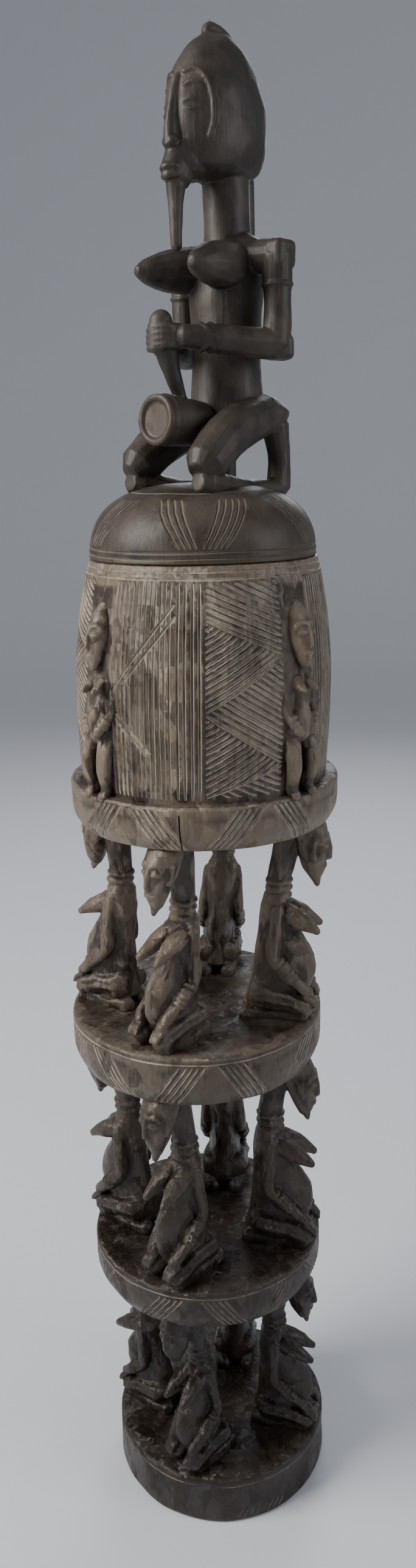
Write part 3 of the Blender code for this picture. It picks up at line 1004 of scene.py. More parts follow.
# %% [markdown]
# Each rim has six pairs of slanting groups, five strokes in a group, which lean against each
# other as chevrons. The crack in the rim of the uppermost disc is one more cut, thin and deep.

# %% Pattern of the rims
GROUP_LINES = 5
GROUP_PITCH = 2.7
GROUP_SPAN = 12.5
RISING_AT = (21, 37, -2)
FALLING_AT = (52, 65, 25)
RINGED = (True, True, False)
RIM_MARGINS = (0.0015, 0.0030)
RING_BELOW = 0.0060
RINGED_MARGIN = 0.0085
CHEVRON_LINE = (0.0025, 0.0013)
CRACK_AT = 35.5
MARKS_AT = 52


def rim_skin(disc):
    radius, bottom, top, centre = disc
    return (lambda z: rim_radius(radius, bottom, top, z), lambda z: centre + UP * z)


def rims(bm):
    """Leaning groups on each rim, and a line below the top edge of the lower two."""
    for disc, rising, falling, ringed in zip(discs, RISING_AT, FALLING_AT, RINGED):
        skin, (_, bottom, top, _) = rim_skin(disc), disc
        low, high = bottom + RIM_MARGINS[0], top - RIM_MARGINS[1]
        if ringed:
            high = top - RINGED_MARGIN
            ring_line(bm, skin, top - RING_BELOW, 0.0016, 0.0009)
        for k in range(6):
            for middle, lean in ((rising + 60 * k, 1), (falling + 60 * k, -1)):
                shift = random.uniform(-1.2, 1.2)
                for i in range(GROUP_LINES):
                    turn = middle + shift + (i - (GROUP_LINES - 1) / 2) * GROUP_PITCH
                    turn += random.uniform(-0.25, 0.25)
                    half = lean * GROUP_SPAN / 2
                    add_stroke(bm, skin, (turn - half, low), (turn + half, high), *CHEVRON_LINE)


def base_marks(bm):
    """A few short strokes near the floor, and a line below the top edge."""
    skin = (lambda z: BASE_RADIUS, lambda z: UP * z)
    for i in range(8):
        turn = MARKS_AT + 3.4 * i
        add_stroke(bm, skin, (turn, 0.0045), (turn + 3.5, 0.0150), 0.0016, 0.0009)
    ring_line(bm, skin, BASE_TOP - 0.0075, 0.0014, 0.0007)


def crack(bm):
    start, end = (CRACK_AT, TOP_BOTTOM - 0.0005), (CRACK_AT - 0.6, TOP_TOP - 0.0005)
    add_stroke(bm, rim_skin(discs[2]), start, end, 0.0013, 0.0050)


# %% [markdown]
# Now the knife goes over the discs and the barrel, and then the figures are set in. The order
# matters: a stroke never crosses a figure's foot.

# %% One carved column
log = joined([foot, low_disc, middle_disc, barrel], "carved_log")
faced_with(log, uncut)
for lines in (fields, arrow_and_zigzags, rims, base_marks):
    knife_pass(log, lines)
knife_pass(log, crack, uncut)
for ring in (*tiers, relief_ring):
    combined(log, ring, "UNION")
print("column with figures", triangle_count(log))

# %% [markdown]
# ## The drummer
#
# She kneels on the lid with a tall ringed beater over a small drum. The figure is built as the
# women are, with more detail: a raised line frames the face, the crest of hair runs from the
# crown to the nape, and both hands close round the beater.

# %% Levels of the drummer
DRUMMER_TORSO = (
    (0.160, -0.100, 0.092, 0.106),
    (0.205, -0.095, 0.086, 0.092),
    (0.310, -0.093, 0.078, 0.083),
    (0.440, -0.096, 0.085, 0.091),
    (0.515, -0.105, 0.074, 0.105),
    (0.552, -0.108, 0.050, 0.100),
)
DRUMMER_SEAT = (
    (0.150, -0.150, 0.080, 0.112),
    (0.180, -0.155, 0.086, 0.125),
    (0.208, -0.145, 0.064, 0.105),
)
DRUMMER_NECK = (
    (0.530, -0.104, 0.056, 0.056),
    (0.620, -0.102, 0.054, 0.053),
    (0.720, -0.097, 0.056, 0.055),
)
DRUMMER_HEAD = (
    (0.690, -0.066, 0.102, 0.056),
    (0.708, -0.069, 0.122, 0.078),
    (0.755, -0.072, 0.132, 0.092),
    (0.830, -0.072, 0.130, 0.092),
    (0.890, -0.070, 0.110, 0.080),
    (0.937, -0.070, 0.080, 0.059),
    (0.968, -0.074, 0.046, 0.031),
)
DRUMMER_JAW = (
    (0.684, 0.020, 0.050, 0.038),
    (0.705, 0.022, 0.056, 0.044),
    (0.745, 0.018, 0.050, 0.042),
)
DRUMMER_MUZZLE = (
    (0.668, 0.050, 0.030, 0.030),
    (0.690, 0.058, 0.035, 0.031),
    (0.730, 0.054, 0.024, 0.024),
)
DRUMMER_NOSE = (
    (0.734, 0.068, 0.020, 0.018),
    (0.800, 0.066, 0.015, 0.011),
    (0.872, 0.046, 0.012, 0.010),
)
DRUMMER_FORMS = (
    (DRUMMER_TORSO, 0.4, 40),
    (DRUMMER_SEAT, 0.3, 40),
    (DRUMMER_NECK, 0.3, 40),
    (DRUMMER_HEAD, 0.2, 48),
    (DRUMMER_JAW, 0.3, 28),
    (DRUMMER_MUZZLE, 0.5, 28),
    (DRUMMER_NOSE, 0.5, 28),
)

# %% Joints of the drummer
DRUMMER_LIMBS = {
    "shoulders": (
        (0.000, -0.108, 0.516, 0.036),
        (0.075, -0.108, 0.516, 0.038),
        (0.146, -0.108, 0.514, 0.037),
    ),
    "arms": (
        (0.149, -0.108, 0.512, 0.037),
        (0.151, -0.108, 0.410, 0.032),
        (0.149, -0.104, 0.322, 0.034),
    ),
    "forearms": (
        (0.149, -0.104, 0.324, 0.035),
        (0.116, -0.036, 0.329, 0.033),
        (0.082, 0.032, 0.335, 0.030),
        (0.040, 0.092, 0.341, 0.025),
    ),
    "breasts": (
        (0.045, -0.060, 0.500, 0.054),
        (0.070, 0.020, 0.494, 0.046),
        (0.083, 0.074, 0.490, 0.030),
        (0.088, 0.096, 0.489, 0.016),
    ),
    "thighs": (
        (0.075, -0.145, 0.176, 0.048),
        (0.098, 0.000, 0.132, 0.054),
        (0.112, 0.100, 0.062, 0.048),
    ),
    "shins": (
        (0.113, 0.105, 0.022, 0.036),
        (0.105, -0.030, 0.005, 0.024),
        (0.095, -0.165, 0.000, 0.026),
    ),
    "feet": (
        (0.092, -0.175, 0.004, 0.030),
        (0.090, -0.180, 0.080, 0.027),
        (0.085, -0.170, 0.150, 0.034),
    ),
}
DRUMMER_HAIR = {
    "crest": (
        (0.000, -0.044, 0.962, 0.013),
        (0.000, -0.056, 0.984, 0.015),
        (0.000, -0.100, 0.972, 0.016),
        (0.000, -0.150, 0.930, 0.015),
        (0.000, -0.190, 0.870, 0.017),
        (0.000, -0.204, 0.800, 0.019),
    ),
    "plait": (
        (0.000, -0.172, 0.535, 0.018),
        (0.000, -0.172, 0.620, 0.018),
        (0.000, -0.172, 0.715, 0.018),
    ),
    "beard": (
        (0.000, 0.062, 0.532, 0.013),
        (0.000, 0.062, 0.605, 0.016),
        (0.000, 0.060, 0.670, 0.023),
    ),
}

# %% [markdown]
# Shoulders, elbows and hands are squarer than a curve can make them. They are boxes with
# bevelled edges, which melt into the limbs when the skin is grown.

# %% Square corners


def block(centre, size, height, turn=0.0):
    """A box with bevelled edges."""
    spot = {"location": place(*centre) * height, "rotation": (0, 0, math.radians(turn))}
    box = added(bpy.ops.mesh.primitive_cube_add, size=1, **spot)
    box.scale = Vector(size) * height
    settled(box)
    applied(box, "BEVEL", width=min(size) * height * 0.25, segments=3)
    return box


def both_blocks(centre, size, height, turn=0.0):
    side, *rest = centre
    return [block((hand * side, *rest), size, height, hand * turn) for hand in (1, -1)]


# %% [markdown]
# The drummer's face is a flat plane with brows, a straight nose, closed eyes and a small mouth
# above a rod-like beard.

# %% Face, hair and bracelets of the drummer
DRUMMER_LINES = (
    (0.0058, 0.0005, ((0.878, 12), (0.882, 30), (0.850, 47), (0.790, 52), (0.748, 47))),
    (0.0042, 0.0005, ((0.850, 14, 0.003), (0.856, 26, 0.004), (0.846, 40, 0.002))),
    (0.0050, 0, ((0.818, 15, 0.002), (0.823, 26, 0.003), (0.815, 39, 0.001))),
    (0.0050, 0, ((0.806, 17, 0.002), (0.802, 27, 0.003), (0.807, 38, 0.001))),
)
DRUMMER_LIPS = ((0.690, 0.090, 0.0085), (0.674, 0.087, 0.0090))
DRUMMER_NOSTRILS = ((0.007, 0.078, 0.740, 0.010), (0.015, 0.072, 0.744, 0.008))
CHEVRON = ((-80, 0.020), (-40, 0.008), (0, -0.006), (40, 0.008), (80, 0.020))


def drummer_face(height):
    shapes = lines_on(DRUMMER_HEAD, DRUMMER_LINES, height)
    for up, forward, radius in DRUMMER_LIPS:
        corner = (forward - 0.012, up, radius * 0.6)
        shapes.append(limb(((-0.024, *corner), (0, forward, up, radius), (0.024, *corner)), height))
    return shapes + pair(DRUMMER_NOSTRILS, height, rounds=2)


def drummer_hair(height):
    shapes = [limb(joints, height) for joints in DRUMMER_HAIR.values()]
    shapes.append(block((0, -0.202, 0.850), (0.026, 0.022, 0.090), height))
    return shapes


def chevrons(start, end, shares, reach, height):
    """Raised V shapes round the outer side of both forearms, their points to the elbow."""
    start, end = Vector(start[:3]), Vector(end[:3])
    axis = (end - start).normalized()
    out = Vector((axis.y, -axis.x, 0)).normalized()
    shapes = []
    for share in shares:
        route = []
        for angle, ahead in CHEVRON:
            turn = math.radians(angle)
            spot = start.lerp(end, share) + (out * math.cos(turn) + UP * math.sin(turn)) * reach
            route.append((*(spot + axis * ahead), 0.0052))
        shapes += pair(route, height, rounds=2)
    return shapes


# %% [markdown]
# The hands hold the beater in two fists. Four fingers of each hand wrap round it as short
# curves. The beater ends in a ringed knob, and the drum's head has a raised edge.

# %% Hands, beater and drum
DRUM = ((0.000, 0.155, 0.050), (0.139, 0.163, 0.056))
BEATER = (
    (0, 0.058, 0.200, 0.014),
    (0, 0.082, 0.255, 0.018),
    (0, 0.100, 0.305, 0.026),
    (0, 0.112, 0.340, 0.024),
)
KNOB = (0.118, 0.371, 0.027)
GRIPS = ((1, 0.341), (-1, 0.335))
FIST = (0.062, 0.058, 0.044)


def fist(height, up, hand):
    """Four fingers round the beater, from the side of one hand."""
    shapes = []
    for i in range(4):
        level = up + 0.0125 * (i - 1.5)
        joints = (
            (hand * 0.034, 0.088, level, 0.0085),
            (hand * 0.026, 0.128, level, 0.0085),
            (0, 0.141, level, 0.0085),
            (-hand * 0.020, 0.130, level, 0.0075),
        )
        shapes.append(limb(joints, height, rounds=2))
    return shapes


def drum_shapes(height):
    """A small barrel whose head, with a raised edge, faces away from the body."""
    (near, near_up, near_radius), (far, far_up, far_radius) = DRUM
    along = (0, far - near, far_up - near_up)
    drum = added(
        bpy.ops.mesh.primitive_cone_add, vertices=48, depth=(far - near) * height,
        radius1=near_radius * height, radius2=far_radius * height, rotation=tipped(along),
        location=place(0, (near + far) / 2, (near_up + far_up) / 2) * height,
    )
    settled(drum)
    edge = band((0, far, far_up), along, far_radius - 0.0065, 0.0085, height)
    collar = band((0, far - 0.022, far_up), along, far_radius - 0.001, 0.0040, height)
    return [drum, edge, collar]


def held_things(height):
    shapes = drum_shapes(height)
    shapes.append(limb(BEATER, height, rounds=5))
    forward, up, radius = KNOB
    ball = {"segments": 32, "ring_count": 16, "radius": radius * height}
    spot = place(0, forward, up) * height
    shapes.append(settled(added(bpy.ops.mesh.primitive_uv_sphere_add, location=spot, **ball)))
    shapes.append(band((0, forward, up - 0.006), (0, 0, 1), radius, 0.0035, height))
    for hand, level in GRIPS:
        shapes += fist(height, level, hand)
    for hand, level in GRIPS:
        shapes.append(block((hand * 0.010, 0.096, level), FIST, height))
    return shapes


# %% [markdown]
# The whole drummer is grown at a finer grain than the women, because she is seen from near.

# %% The drummer grown
DRUMMER_HEIGHT = 0.356
DRUMMER_SINK = 0.008
DRUMMER_TRIANGLES = 120000
DRUMMER_GRAIN = 0.0029
LID_HEIGHT = 0.062
LID_SEAT = MOUTH + 0.0003


def drummer(height):
    shapes = [upright(levels, height, bulge, sides) for levels, bulge, sides in DRUMMER_FORMS]
    for joints in DRUMMER_LIMBS.values():
        shapes += pair(joints, height, rounds=5)
    shapes += both_blocks((0.152, -0.110, 0.514), (0.062, 0.066, 0.064), height)
    shapes += both_blocks((0.152, -0.112, 0.318), (0.054, 0.060, 0.054), height, -24)
    shapes += drummer_face(height)
    shapes += drummer_hair(height)
    shapes += held_things(height)
    _, start, _, end = DRUMMER_LIMBS["forearms"]
    shapes += chevrons(start, end, (0.30, 0.45, 0.60), 0.0300, height)
    shapes += bracelets(DRUMMER_LIMBS["arms"][:2], (0.60,), 0.034, 0.0035, height)
    return grown(shapes, "drummer", height * DRUMMER_GRAIN, DRUMMER_TRIANGLES, 2)


figure = drummer(DRUMMER_HEIGHT)
figure.data.transform(Matrix.Translation(UP * (LID_SEAT + LID_HEIGHT - DRUMMER_SINK)))
chiselled(figure, 0.0012, 0.016)

# %% [markdown]
# ## The lid
#
# A dome with a spigot that drops inside the barrel's mouth. It is hollow underneath, and its
# skin carries upright fans of strokes between ring lines.

# %% The lid turned and cut
LID_RADIUS = 0.0980
SPIGOT_RADIUS = MOUTH_RADIUS - WALL - 0.0015
BORE_RADIUS = SPIGOT_RADIUS - 0.009
LID_HOLLOW = LID_HEIGHT - 0.016
LID_RING = (0.0022, 0.0012)
LID_RINGS_AT = (0.0048, 0.0098)
KNEE_RING_AT = 0.875
FAN_FROM = 0.0125
FAN_TO = 0.80
FAN_PLACES = (43.5, 115.5, 187.5, 259.5, 331.5)


def lid_radius(z):
    share = min(0.999, max(0.0, (z - LID_SEAT) / LID_HEIGHT))
    return LID_RADIUS * (1 - share**2.5) ** 0.36


lid_skin = (lid_radius, lambda z: UP * z)
lid_profile = [
    (BORE_RADIUS * 0.15, LID_SEAT + LID_HOLLOW),
    (BORE_RADIUS * 0.45, LID_SEAT + LID_HOLLOW - 0.0008),
    (BORE_RADIUS * 0.80, LID_SEAT + LID_HOLLOW * 0.75),
    (BORE_RADIUS, LID_SEAT),
    (BORE_RADIUS, LID_SEAT - 0.010),
    (SPIGOT_RADIUS, LID_SEAT - 0.010),
    (SPIGOT_RADIUS, LID_SEAT),
    (LID_RADIUS - 0.0012, LID_SEAT),
    (LID_RADIUS, LID_SEAT + 0.0012),
]
for i in range(1, 24):
    level = LID_SEAT + LID_HEIGHT * (math.sin(math.pi / 2 * i / 24) * 0.985)
    lid_profile.append((lid_radius(level), level))
lid_profile.append((0.012, LID_SEAT + LID_HEIGHT * 0.995))
lid = ring_stack([(UP * z, radius, radius) for radius, z in lid_profile], TURNS, "lid")
applied(lid, "TRIANGULATE")
faced_with(lid, uncut)


def lid_lines(bm):
    """Two lines above the seam, one below the knees, and five wide Vs of strokes between."""
    low, high = LID_SEAT + FAN_FROM, LID_SEAT + LID_HEIGHT * FAN_TO
    for height in LID_RINGS_AT:
        ring_line(bm, lid_skin, LID_SEAT + height, *LID_RING)
    ring_line(bm, lid_skin, LID_SEAT + LID_HEIGHT * KNEE_RING_AT, 0.0022, 0.0011)
    for middle in FAN_PLACES:
        for lean, lines, spread in ((1, 5, 4.3), (-1, 4, 4.6)):
            for i in range(lines):
                start = (middle + lean * (1.5 + 2.7 * i), low)
                end = (middle + lean * (12 + spread * i), high)
                add_stroke(bm, lid_skin, start, end, *CHEVRON_LINE)


knife_pass(lid, lid_lines)
combined(lid, figure, "UNION")
print("lid with drummer", triangle_count(lid))

# %% [markdown]
# ## Where soot, dust and touch have left their marks
#
# A material can only colour what it can find. So the mesh keeps a few numbers: which faces the
# knife has opened, how far each point stands out from the skin around it, and where the skin
# has been rubbed bare. How far a point stands out is found by smoothing the skin and looking
# which way the point moved.

# %% Marks stored on the mesh
SMOOTHING_ROUNDS = 8
STANDS_OUT = 0.0006


def vectors_of(mesh, name):
    flat = np.empty(len(mesh.vertices) * 3, np.float32)
    mesh.vertices.foreach_get(name, flat)
    return flat.reshape(-1, 3).astype(float)


def store(mesh, name, values, domain="POINT"):
    attribute = mesh.attributes.new(name, "FLOAT", domain)
    attribute.data.foreach_set("value", np.asarray(values, np.float32))


def standing_out(mesh):
    """Above 0 on edges and ridges, below 0 in hollows, about 1 at STANDS_OUT."""
    co, normal = vectors_of(mesh, "co"), vectors_of(mesh, "normal")
    ends = np.empty(len(mesh.edges) * 2, np.int32)
    mesh.edges.foreach_get("vertices", ends)
    a, b = ends.reshape(-1, 2).T
    size = len(co)
    count = np.bincount(a, minlength=size) + np.bincount(b, minlength=size)
    count = np.maximum(count, 1)[:, None]
    smooth = co.copy()
    for _ in range(SMOOTHING_ROUNDS):
        total = [np.bincount(a, row[b], size) + np.bincount(b, row[a], size) for row in smooth.T]
        smooth = smooth * 0.5 + np.stack(total, axis=1) / count * 0.5
    return np.clip(((co - smooth) * normal).sum(1) / STANDS_OUT, -2, 2)


def mark(obj, rubbed):
    """Stores the marks, and puts all faces back on one material slot."""
    mesh = obj.data
    index = np.empty(len(mesh.polygons), np.int32)
    mesh.polygons.foreach_get("material_index", index)
    opened = np.array([material == cut_open for material in mesh.materials])[index]
    store(mesh, "cut", opened, "FACE")
    store(mesh, "stands_out", standing_out(mesh))
    store(mesh, "rubbed", rubbed(vectors_of(mesh, "co")))
    mesh.polygons.foreach_set("material_index", np.zeros(len(index), np.int32))
    print(obj.name, "has", int(opened.sum()), "cut faces of", len(index))


# %% [markdown]
# Rubbed places are few and known: the right-hand standing figure, the lip over it, a spot on
# one rim, and the head of the drum.

# %% Rubbed places


def near(co, turn, z, wide, tall):
    """1 at a place on the column's outside, falling to 0 over its width and height."""
    azimuth = np.degrees(np.arctan2(co[:, 0], -co[:, 1]))
    off = (azimuth - turn + 180) % 360 - 180
    outside = np.hypot(co[:, 0], co[:, 1]) > 0.095
    return outside * np.exp(-((off / wide) ** 2) - ((co[:, 2] - z) / tall) ** 2)


def column_rubbed(co):
    """The right-hand standing figure, the lip over it, and one rim are rubbed bare."""
    levels = np.linspace(TOP_TOP, MOUTH, 40)
    radii = [vessel_radius(z) for z in levels]
    proud = np.hypot(co[:, 0], co[:, 1]) - np.interp(co[:, 2], levels, radii)
    on_barrel = (co[:, 2] > TOP_TOP + 0.004) & (co[:, 2] < MOUTH - 0.004)
    figures = on_barrel * np.clip((proud - 0.003) / 0.012, 0, 1)
    figures *= 0.15 + 0.55 * near(co, 84, 0.86, 30, 0.3)
    spots = near(co, 62, MOUTH - 0.007, 5, 0.003) + 0.8 * near(co, 74, MOUTH - 0.006, 3, 0.002)
    return np.clip(figures + spots + 0.5 * near(co, -28, 0.505, 9, 0.014), 0, 1)


def lid_rubbed(co):
    """The drum's head, which is beaten, is paler than the rest."""
    far, up, radius = (value * DRUMMER_HEIGHT for value in DRUM[1])
    level = LID_SEAT + LID_HEIGHT - DRUMMER_SINK + up
    from_axis = np.hypot(co[:, 0], co[:, 2] - level)
    return (from_axis < radius + 0.004) & (-co[:, 1] > far - 0.004)


mark(log, column_rubbed)
mark(lid, lid_rubbed)

# %% [markdown]
# ## The wood
#
# The wood is nearly black from soot and oil. Where hands touch it, it is brown and shines, and
# where nobody reaches, it is grey with dust. Ridges are lighter, partly from wear and partly as a
# painted highlight. Both woods here use the same two effects, so each effect is one node group with
# its own named inputs.

# %% Helpers for node groups


class Nodes:
    """Adds nodes to a tree in few words."""

    def __init__(self, tree):
        self.tree = tree

    def join(self, value, socket):
        """Links a socket, or sets a number or a colour."""
        if isinstance(value, bpy.types.NodeSocket):
            self.tree.links.new(value, socket)
        else:
            socket.default_value = value

    def add(self, kind, inputs=None, **settings):
        node = self.tree.nodes.new("ShaderNode" + kind)
        for name, value in settings.items():
            setattr(node, name, value)
        for key, value in (inputs or {}).items():
            self.join(value, node.inputs[key])
        return node

    def maths(self, operation, a, b, clamp=False):
        return self.add("Math", {0: a, 1: b}, operation=operation, use_clamp=clamp).outputs[0]

    def plus(self, a, b, clamp=False):
        return self.maths("ADD", a, b, clamp)

    def times(self, a, b, clamp=False):
        return self.maths("MULTIPLY", a, b, clamp)

    def vectors(self, operation, a, b, output="Vector"):
        return self.add("VectorMath", {0: a, 1: b}, operation=operation).outputs[output]

    def ramp(self, value, low, high):
        """0 below low, 1 above high, and smooth between."""
        inputs = {"Value": value, "From Min": low, "From Max": high}
        return self.add("MapRange", inputs, interpolation_type="SMOOTHSTEP").outputs["Result"]

    def mix(self, factor, a, b):
        return self.add("Mix", {0: factor, 6: a, 7: b}, data_type="RGBA").outputs[2]

    def noise(self, vector, scale, detail, roughness=0.5):
        inputs = {"Vector": vector, "Scale": scale, "Detail": detail, "Roughness": roughness}
        return self.add("TexNoise", inputs).outputs["Fac"]

    def stretched(self, vector, share):
        """Coordinates whose patterns are drawn out along Z."""
        return self.add("Mapping", {"Vector": vector, "Scale": (1, 1, share)}).outputs[0]

    def mark(self, name):
        return self.add("Attribute", attribute_name=name).outputs["Fac"]

    def z_of(self, vector):
        return self.add("SeparateXYZ", {0: vector}).outputs["Z"]


def new_group(name, inputs, outputs):
    """A node group with float inputs of {name: value} and the named float outputs."""
    tree = bpy.data.node_groups.new(name, "ShaderNodeTree")
    sockets = [(label, "INPUT") for label in inputs] + [(label, "OUTPUT") for label in outputs]
    for label, way in sockets:
        socket = tree.interface.new_socket(name=label, in_out=way, socket_type="NodeSocketFloat")
        socket.default_value = inputs.get(label, 0.0)
    entry = tree.nodes.new("NodeGroupInput")
    leave = tree.nodes.new("NodeGroupOutput")
    return tree, Nodes(tree), entry.outputs, leave.inputs


# %% [markdown]
# The first effect is the worked skin: flat facets that the knife left, long fibres up the log,
# small chips and pores. A facet is a cell of a Voronoi texture that is tilted its own way: the
# way from the cell's middle times the cell's chance colour. The group gives a height in metres
# for the Bump node and two masks, for the fibres and for broad patches.

# %% Node group: worked wood
FACET_SCALE = 85.0
CHIP_SCALE = 260.0
FIBRE_HEIGHT = 0.0006
PORE_DEPTH = 0.35
skin_inputs = {"Facets": 0.3, "Fibre": 1.0, "Chips": 1.0, "Scale": 1.0}
worked_wood, n, given, out = new_group(
    "worked wood", skin_inputs, ("Height", "Fibres", "Patches")
)
where = n.add("TexCoord").outputs["Object"]
sized = n.add("VectorMath", {0: where, "Scale": given["Scale"]}, operation="SCALE").outputs[0]
drawn = n.stretched(sized, 0.07)
fibres = n.noise(drawn, 420.0, 4.0, 0.6)
streaks = n.noise(drawn, 120.0, 3.0, 0.55)
pores = n.ramp(n.noise(drawn, 900.0, 2.0), 0.62, 0.75)


def facets(vector, scale):
    """A height that is flat in each cell of about 1 / scale metres and tilted its own way."""
    cell = n.add("TexVoronoi", {"Vector": vector, "Scale": scale})
    from_middle = n.vectors("SUBTRACT", vector, cell.outputs["Position"])
    tilt = n.vectors("SUBTRACT", cell.outputs["Color"], (0.5, 0.5, 0.5))
    return n.vectors("DOT_PRODUCT", from_middle, tilt, "Value")


cells = n.stretched(sized, 0.55)
height = n.times(facets(cells, FACET_SCALE), given["Facets"])
height = n.plus(height, n.times(facets(cells, CHIP_SCALE), given["Chips"]))
grain = n.maths("SUBTRACT", fibres, n.times(pores, PORE_DEPTH))
height = n.plus(height, n.times(grain, n.times(given["Fibre"], FIBRE_HEIGHT)))
n.join(height, out["Height"])
n.join(n.plus(n.times(fibres, 0.5), n.times(streaks, 0.5)), out["Fibres"])
n.join(n.noise(sized, 22.0, 4.0, 0.6), out["Patches"])
print("group", worked_wood.name)

# %% [markdown]
# The second effect is age, with a painted highlight. It reads the marks stored on the mesh: pale
# dust lies in the cuts, grey dust in hollows and on what faces up, and touch has worn the ridges,
# whose lighter colour is partly wear and partly a painted highlight. Fibres and patches break each
# mask up, since no real dust or wear ends in a clean edge.

# %% Node group: age and painted ridge highlight
HOLLOW_DUST = 0.25
LYING_DUST = 0.15
PATCH_DUST = 0.75
age_inputs = {"Dust": 0.5, "Touch and highlight": 0.5, "Patches": 0.5, "Fibres": 0.5}
age_and_highlight, n, given, out = new_group(
    "age_and_highlight", age_inputs, ("Dusty", "Touched and highlit", "Sooty", "Lines", "Rubbed")
)
proud = n.mark("stands_out")
broken = n.ramp(n.plus(n.times(given["Fibres"], 0.6), n.times(given["Patches"], 0.4)), 0.36, 0.58)
hollow = n.ramp(n.times(proud, -1.0), 0.05, 1.0)
lying = n.ramp(n.z_of(n.add("NewGeometry").outputs["Normal"]), 0.35, 0.95)
dust = n.plus(n.times(hollow, HOLLOW_DUST), n.times(lying, LYING_DUST))
dust = n.plus(dust, n.times(n.ramp(given["Patches"], 0.42, 0.66), PATCH_DUST))
dust = n.times(n.times(dust, n.plus(broken, 0.35)), given["Dust"], clamp=True)
# Ridges that stand out get the worn colour: partly wear, partly a painted highlight.
touch_and_highlight = n.times(n.ramp(proud, 0.40, 1.4), n.plus(given["Fibres"], 0.35))
n.join(dust, out["Dusty"])
n.join(n.times(touch_and_highlight, given["Touch and highlight"], clamp=True), out["Touched and highlit"])
n.join(n.ramp(given["Patches"], 0.40, 0.60), out["Sooty"])
n.join(n.times(n.mark("cut"), n.plus(n.times(broken, 0.6), 0.4)), out["Lines"])
n.join(n.times(n.mark("rubbed"), n.plus(n.times(broken, 0.7), 0.3)), out["Rubbed"])
print("group", age_and_highlight.name)

# %% [markdown]
# The material puts them together. The shine of oiled wood comes from a plain roughness that the
# dust raises, and a thin coat gives the satin of a surface polished by hands. The column also gets
# painted shade that darkens it towards the floor, and its lines stay paler there than the wood
# around them.

# %% The wood as a material
FIBRE_MATT = 0.14
LINES_IN_PAINTED_SHADE = 0.38


def wood(name, colours, gloss, matt, coat, skin_values, age_values, painted_floor_shade=None):
    """A wood from its colours, a roughness for dust-free and for dusty skin, and group values."""
    tint = {key: (*rgb, 1) for key, rgb in colours.items()}
    material = bpy.data.materials.new(name)
    material.use_nodes = True
    n = Nodes(material.node_tree)
    shader = n.tree.nodes["Principled BSDF"]
    skin = n.add("Group", skin_values, node_tree=worked_wood).outputs
    masks = {"Patches": skin["Patches"], "Fibres": skin["Fibres"]}
    old = n.add("Group", {**age_values, **masks}, node_tree=age_and_highlight).outputs
    colour = n.mix(old["Sooty"], tint["soot"], tint["brown"])
    fine = n.times(n.ramp(skin["Fibres"], 0.35, 0.70), 0.5)
    colour = n.mix(fine, colour, tint["brown"])
    # Ridges take the worn colour, partly from wear and partly as a painted highlight.
    colour = n.mix(old["Touched and highlit"], colour, tint["worn_and_highlit"])
    colour = n.mix(old["Dusty"], colour, tint["dust"])
    lines = old["Lines"]
    # Painted shade: the colour darkens towards the floor, and the lines are darkened less there.
    if painted_floor_shade:
        low, high, kept = painted_floor_shade
        z = n.z_of(n.add("TexCoord").outputs["Object"])
        unshaded = n.plus(n.times(n.ramp(z, low, high), 1 - kept), kept)
        colour = n.mix(unshaded, tint["painted floor shade"], colour)
        lines = n.times(lines, n.plus(unshaded, LINES_IN_PAINTED_SHADE, clamp=True))
    colour = n.mix(lines, colour, tint["line"])
    colour = n.mix(old["Rubbed"], colour, tint["bare"])
    rough = n.plus(n.times(n.maths("MAXIMUM", old["Dusty"], lines), matt - gloss), gloss)
    rough = n.plus(rough, n.times(skin["Fibres"], FIBRE_MATT), clamp=True)
    bump = n.add("Bump", {"Height": skin["Height"], "Strength": 1.0, "Distance": 1.0})
    n.join(colour, shader.inputs["Base Color"])
    n.join(rough, shader.inputs["Roughness"])
    n.join(bump.outputs["Normal"], shader.inputs["Normal"])
    shader.inputs["Specular IOR Level"].default_value = 0.38
    shader.inputs["Coat Weight"].default_value = coat
    shader.inputs["Coat Roughness"].default_value = 0.32
    return material


# %% [markdown]
# The column is brown and dusty, with pale lines. The lid is handled more, so it is darker,
# smoother and cleaner.

# %% The two woods
# The worn colour is partly wear and partly a painted highlight on ridges; the floor colour is
# painted shade for the lower column.
column_colours = {
    "soot": (0.025, 0.0175, 0.0130),
    "brown": (0.070, 0.049, 0.036),
    "dust": (0.135, 0.113, 0.090),
    "worn_and_highlit": (0.185, 0.142, 0.100),
    "line": (0.340, 0.295, 0.235),
    "bare": (0.230, 0.168, 0.112),
    "painted floor shade": (0.012, 0.0065, 0.0040),
}
# The lid's worn colour is also partly a painted highlight on its ridges.
lid_colours = {
    "soot": (0.017, 0.0130, 0.0100),
    "brown": (0.040, 0.0295, 0.0220),
    "dust": (0.105, 0.090, 0.072),
    "worn_and_highlit": (0.070, 0.049, 0.032),
    "line": (0.120, 0.098, 0.074),
    "bare": (0.052, 0.037, 0.026),
}
column_skin = {"Facets": 0.85, "Fibre": 1.0, "Chips": 0.50, "Scale": 1.0}
lid_skin_values = {"Facets": 0.07, "Fibre": 0.5, "Chips": 0.05, "Scale": 1.1}
# The column's last setting is painted shade that darkens it towards the floor.
column_wood = wood(
    "aged column wood with painted light", column_colours, gloss=0.31, matt=0.78, coat=0.10,
    skin_values=column_skin, age_values={"Dust": 0.42, "Touch and highlight": 1.0}, painted_floor_shade=(0.18, 0.86, 0.04),
)
lid_wood = wood(
    "polished lid wood with painted highlight", lid_colours, gloss=0.46, matt=0.70, coat=0.08,
    skin_values=lid_skin_values, age_values={"Dust": 0.14, "Touch and highlight": 0.60},
)

